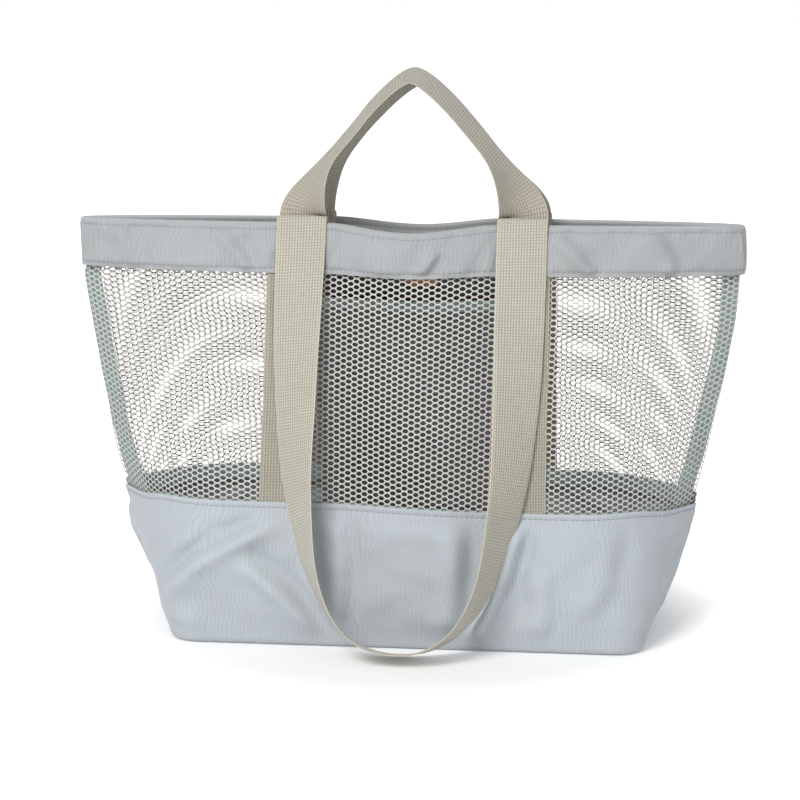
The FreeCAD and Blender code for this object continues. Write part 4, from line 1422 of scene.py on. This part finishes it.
def make_floor(near_lift, far_lift):
    """Pale floor that glows for camera rays: faintly near the bag, where it keeps the bag's shadow inside a
    painted grey patch, and strongly away from it, where the glow paints the ground and the outer shadow up to
    the white background.
    """
    mesh = bpy.data.meshes.new("floor")
    reach = FLOOR_REACH
    corners = [(-reach, -reach, 0), (reach, -reach, 0), (reach, reach, 0), (-reach, reach, 0)]
    mesh.from_pydata(corners, [], [(0, 1, 2, 3)])
    floor = bpy.data.objects.new("floor", mesh)
    bpy.context.scene.collection.objects.link(floor)
    material = bpy.data.materials.new("floor")
    material.use_nodes = True
    tree = material.node_tree
    shader = tree.nodes["Principled BSDF"]
    shader.inputs["Base Color"].default_value = (0.90, 0.90, 0.90, 1.0)
    shader.inputs["Roughness"].default_value = 0.9
    shader.inputs["Specular IOR Level"].default_value = 0.1
    place_on_floor = add_node(tree, "ShaderNodeTexCoord").outputs["Object"]
    away = add_node(tree, "ShaderNodeVectorMath", {0: place_on_floor}, operation="LENGTH").outputs["Value"]
    # Painted glow: weaker near the bag, darkening a patch round it, and stronger away from it, brightening
    # away the outer shadow.
    lift = add_node(tree, "ShaderNodeMapRange", {
        "Value": away, "From Min": LIFT_FROM, "From Max": LIFT_TO, "To Min": near_lift, "To Max": far_lift,
    }, interpolation_type="SMOOTHSTEP").outputs["Result"]
    strength = add_node(tree, "ShaderNodeMath", {0: seen_plainly(tree), 1: lift}, operation="MULTIPLY")
    glow = add_node(tree, "ShaderNodeEmission", {"Strength": strength.outputs[0]})
    total = add_node(tree, "ShaderNodeAddShader", {0: shader.outputs[0], 1: glow.outputs[0]})
    tree.links.new(total.outputs[0], tree.nodes["Material Output"].inputs["Surface"])
    mesh.materials.append(material)


# ---------------------------------------------------------------- operators

class BEACHBAG_OT_stage(bpy.types.Operator):
    """Pale floor, soft studio light, white background and the camera"""
    bl_idname = "beach_bag.stage"
    bl_label = "Stage"

    def execute(self, context):
        make_camera()
        make_world(AMBIENT)
        make_floor(NEAR_LIFT, FAR_LIFT)
        make_lamp("Key light", KEY_PLACE, LIGHT_TARGET, KEY_POWER, KEY_WIDTH)
        make_lamp("Fill light", FILL_PLACE, LIGHT_TARGET, FILL_POWER, FILL_WIDTH)
        context.scene.view_settings.view_transform = "Standard"
        return {"FINISHED"}


class BEACHBAG_OT_net(bpy.types.Operator):
    """Open net of both walls"""
    bl_idname = "beach_bag.net"
    bl_label = "Net walls"

    def execute(self, context):
        for side, back in SIDES:
            piece = make_net(side + "_net", Wall(back))
            fix_to_bag(piece, "mesh", side + "_mesh_panel")
        return {"FINISHED"}


class BEACHBAG_OT_base(bpy.types.Operator):
    """Fabric base: its two walls and the bottom"""
    bl_idname = "beach_bag.base"
    bl_label = "Base"

    def execute(self, context):
        size = pattern()
        folds = {"front": FRONT_BASE_FOLDS, "back": BACK_BASE_FOLDS}
        for side, back in SIDES:
            piece = make_base_panel(side + "_base", Wall(back), folds[side], 21 + 4 * back)
            fix_to_bag(piece, "base_fabric", side + "_base_panel")
        bottom = make_bottom("bottom", Wall(False), Wall(True))
        fix_to_bag(bottom, "base_fabric", "bottom_panel")
        return {"FINISHED"}


class BEACHBAG_OT_band(bpy.types.Operator):
    """Fabric band folded over the rim of both walls"""
    bl_idname = "beach_bag.band"
    bl_label = "Top band"

    def execute(self, context):
        size = pattern()
        for side, back in SIDES:
            piece = make_band(side + "_band", Wall(back), 41 + 3 * back)
            fix_to_bag(piece, "band_fabric", side + "_top_band")
        return {"FINISHED"}


class BEACHBAG_OT_legs(bpy.types.Operator):
    """Webbing sewn up the outside of both walls"""
    bl_idname = "beach_bag.legs"
    bl_label = "Webbing legs"

    def execute(self, context):
        half = pattern().leg_spacing / 2
        for side, back in SIDES:
            for end, x in (("left", -half), ("right", half)):
                own_x = -x if back else x
                piece = make_leg(f"{side}_{end}_leg", Wall(back), own_x, 81 + int(x > 0) + 2 * back)
                fix_to_bag(piece, "webbing", f"{side}_{end}_webbing_leg")
        return {"FINISHED"}


class BEACHBAG_OT_tapes(bpy.types.Operator):
    """Binding tapes on the seams inside the bag"""
    bl_idname = "beach_bag.tapes"
    bl_label = "Seam tapes"

    def execute(self, context):
        pieces = {}
        for side, back in SIDES:
            pieces[side + "_base_seam_tape"] = make_base_tape(side + "_base_tape", Wall(back))
        for end, side in (("left", -1.0), ("right", 1.0)):
            pieces[end + "_side_seam_tape"] = make_side_tape(end + "_side_tape", side, 91)
            pieces[end + "_gusset_seam_tape"] = make_gusset_tape(end + "_gusset_tape", side, 93)
        for node, piece in pieces.items():
            fix_to_bag(piece, "seam_tape", node)
        return {"FINISHED"}


class BEACHBAG_OT_pocket(bpy.types.Operator):
    """Inside pocket with its bound mouth, and the tab above it"""
    bl_idname = "beach_bag.pocket"
    bl_label = "Pocket and tab"

    def execute(self, context):
        slots = ("pocket_fabric", "pocket_fabric", "seam_tape", "tab")
        nodes = ("pocket_back_sheet", "pocket_front_sheet", "pocket_edge_binding", "inner_tab")
        pieces = make_pocket()
        for piece, slot, node in zip(pieces, slots, nodes):
            fix_to_bag(piece, slot, node)
        return {"FINISHED"}


class BEACHBAG_OT_short_handles(bpy.types.Operator):
    """The two handles that stand over the mouth"""
    bl_idname = "beach_bag.short_handles"
    bl_label = "Standing handles"

    def execute(self, context):
        make_short_handle("front", False)
        make_short_handle("back", True)
        return {"FINISHED"}


class BEACHBAG_OT_long_handles(bpy.types.Operator):
    """The two long handles that hang over the rim to the ground"""
    bl_idname = "beach_bag.long_handles"
    bl_label = "Long handles"

    def execute(self, context):
        make_long_handle("front", False)
        make_long_handle("back", True)
        return {"FINISHED"}


class BEACHBAG_OT_stitches(bpy.types.Operator):
    """Stitches along every row that the other pieces have marked"""
    bl_idname = "beach_bag.stitches"
    bl_label = "Stitches"

    def execute(self, context):
        if not SEAMS:
            raise RuntimeError("make the sewn pieces before their stitches")
        slots = {"base_thread": "base_fabric", "webbing_thread": "webbing", "tape_thread": "seam_tape",
                 "pocket_thread": "pocket_fabric"}
        tree = stitch_tree()
        for thread in sorted(SEAMS):
            piece = make_stitches(thread, SEAMS[thread], tree)
            fix_to_bag(piece, slots[thread])
        return {"FINISHED"}


OPERATORS = (
    BEACHBAG_OT_stage, BEACHBAG_OT_net, BEACHBAG_OT_base, BEACHBAG_OT_band, BEACHBAG_OT_legs,
    BEACHBAG_OT_tapes, BEACHBAG_OT_pocket, BEACHBAG_OT_short_handles, BEACHBAG_OT_long_handles,
    BEACHBAG_OT_stitches,
)


class BEACHBAG_PT_panel(bpy.types.Panel):
    """Lists the bag's sizes, colours and pieces"""
    bl_idname = "BEACHBAG_PT_panel"
    bl_label = "Beach Bag"
    bl_space_type = "VIEW_3D"
    bl_region_type = "UI"
    bl_category = "Beach Bag"

    def draw(self, context):
        layout = self.layout
        for operator in OPERATORS:
            layout.operator(operator.bl_idname)
        for group in (context.scene.beach_bag_sizes, context.scene.beach_bag_colours):
            box = layout.box()
            for name in type(group).__annotations__:
                box.prop(group, name)


CLASSES = (BeachBagSizes, BeachBagColours, *OPERATORS, BEACHBAG_PT_panel)


def register():
    for item in CLASSES:
        bpy.utils.register_class(item)
    bpy.types.Scene.beach_bag_sizes = bpy.props.PointerProperty(type=BeachBagSizes)
    bpy.types.Scene.beach_bag_colours = bpy.props.PointerProperty(type=BeachBagColours)


def unregister():
    del bpy.types.Scene.beach_bag_colours
    del bpy.types.Scene.beach_bag_sizes
    for item in reversed(CLASSES):
        bpy.utils.unregister_class(item)


def main():
    register()
    for operator in OPERATORS:
        group, name = operator.bl_idname.split(".")
        getattr(getattr(bpy.ops, group), name)()


if __name__ == "__main__":
    main()
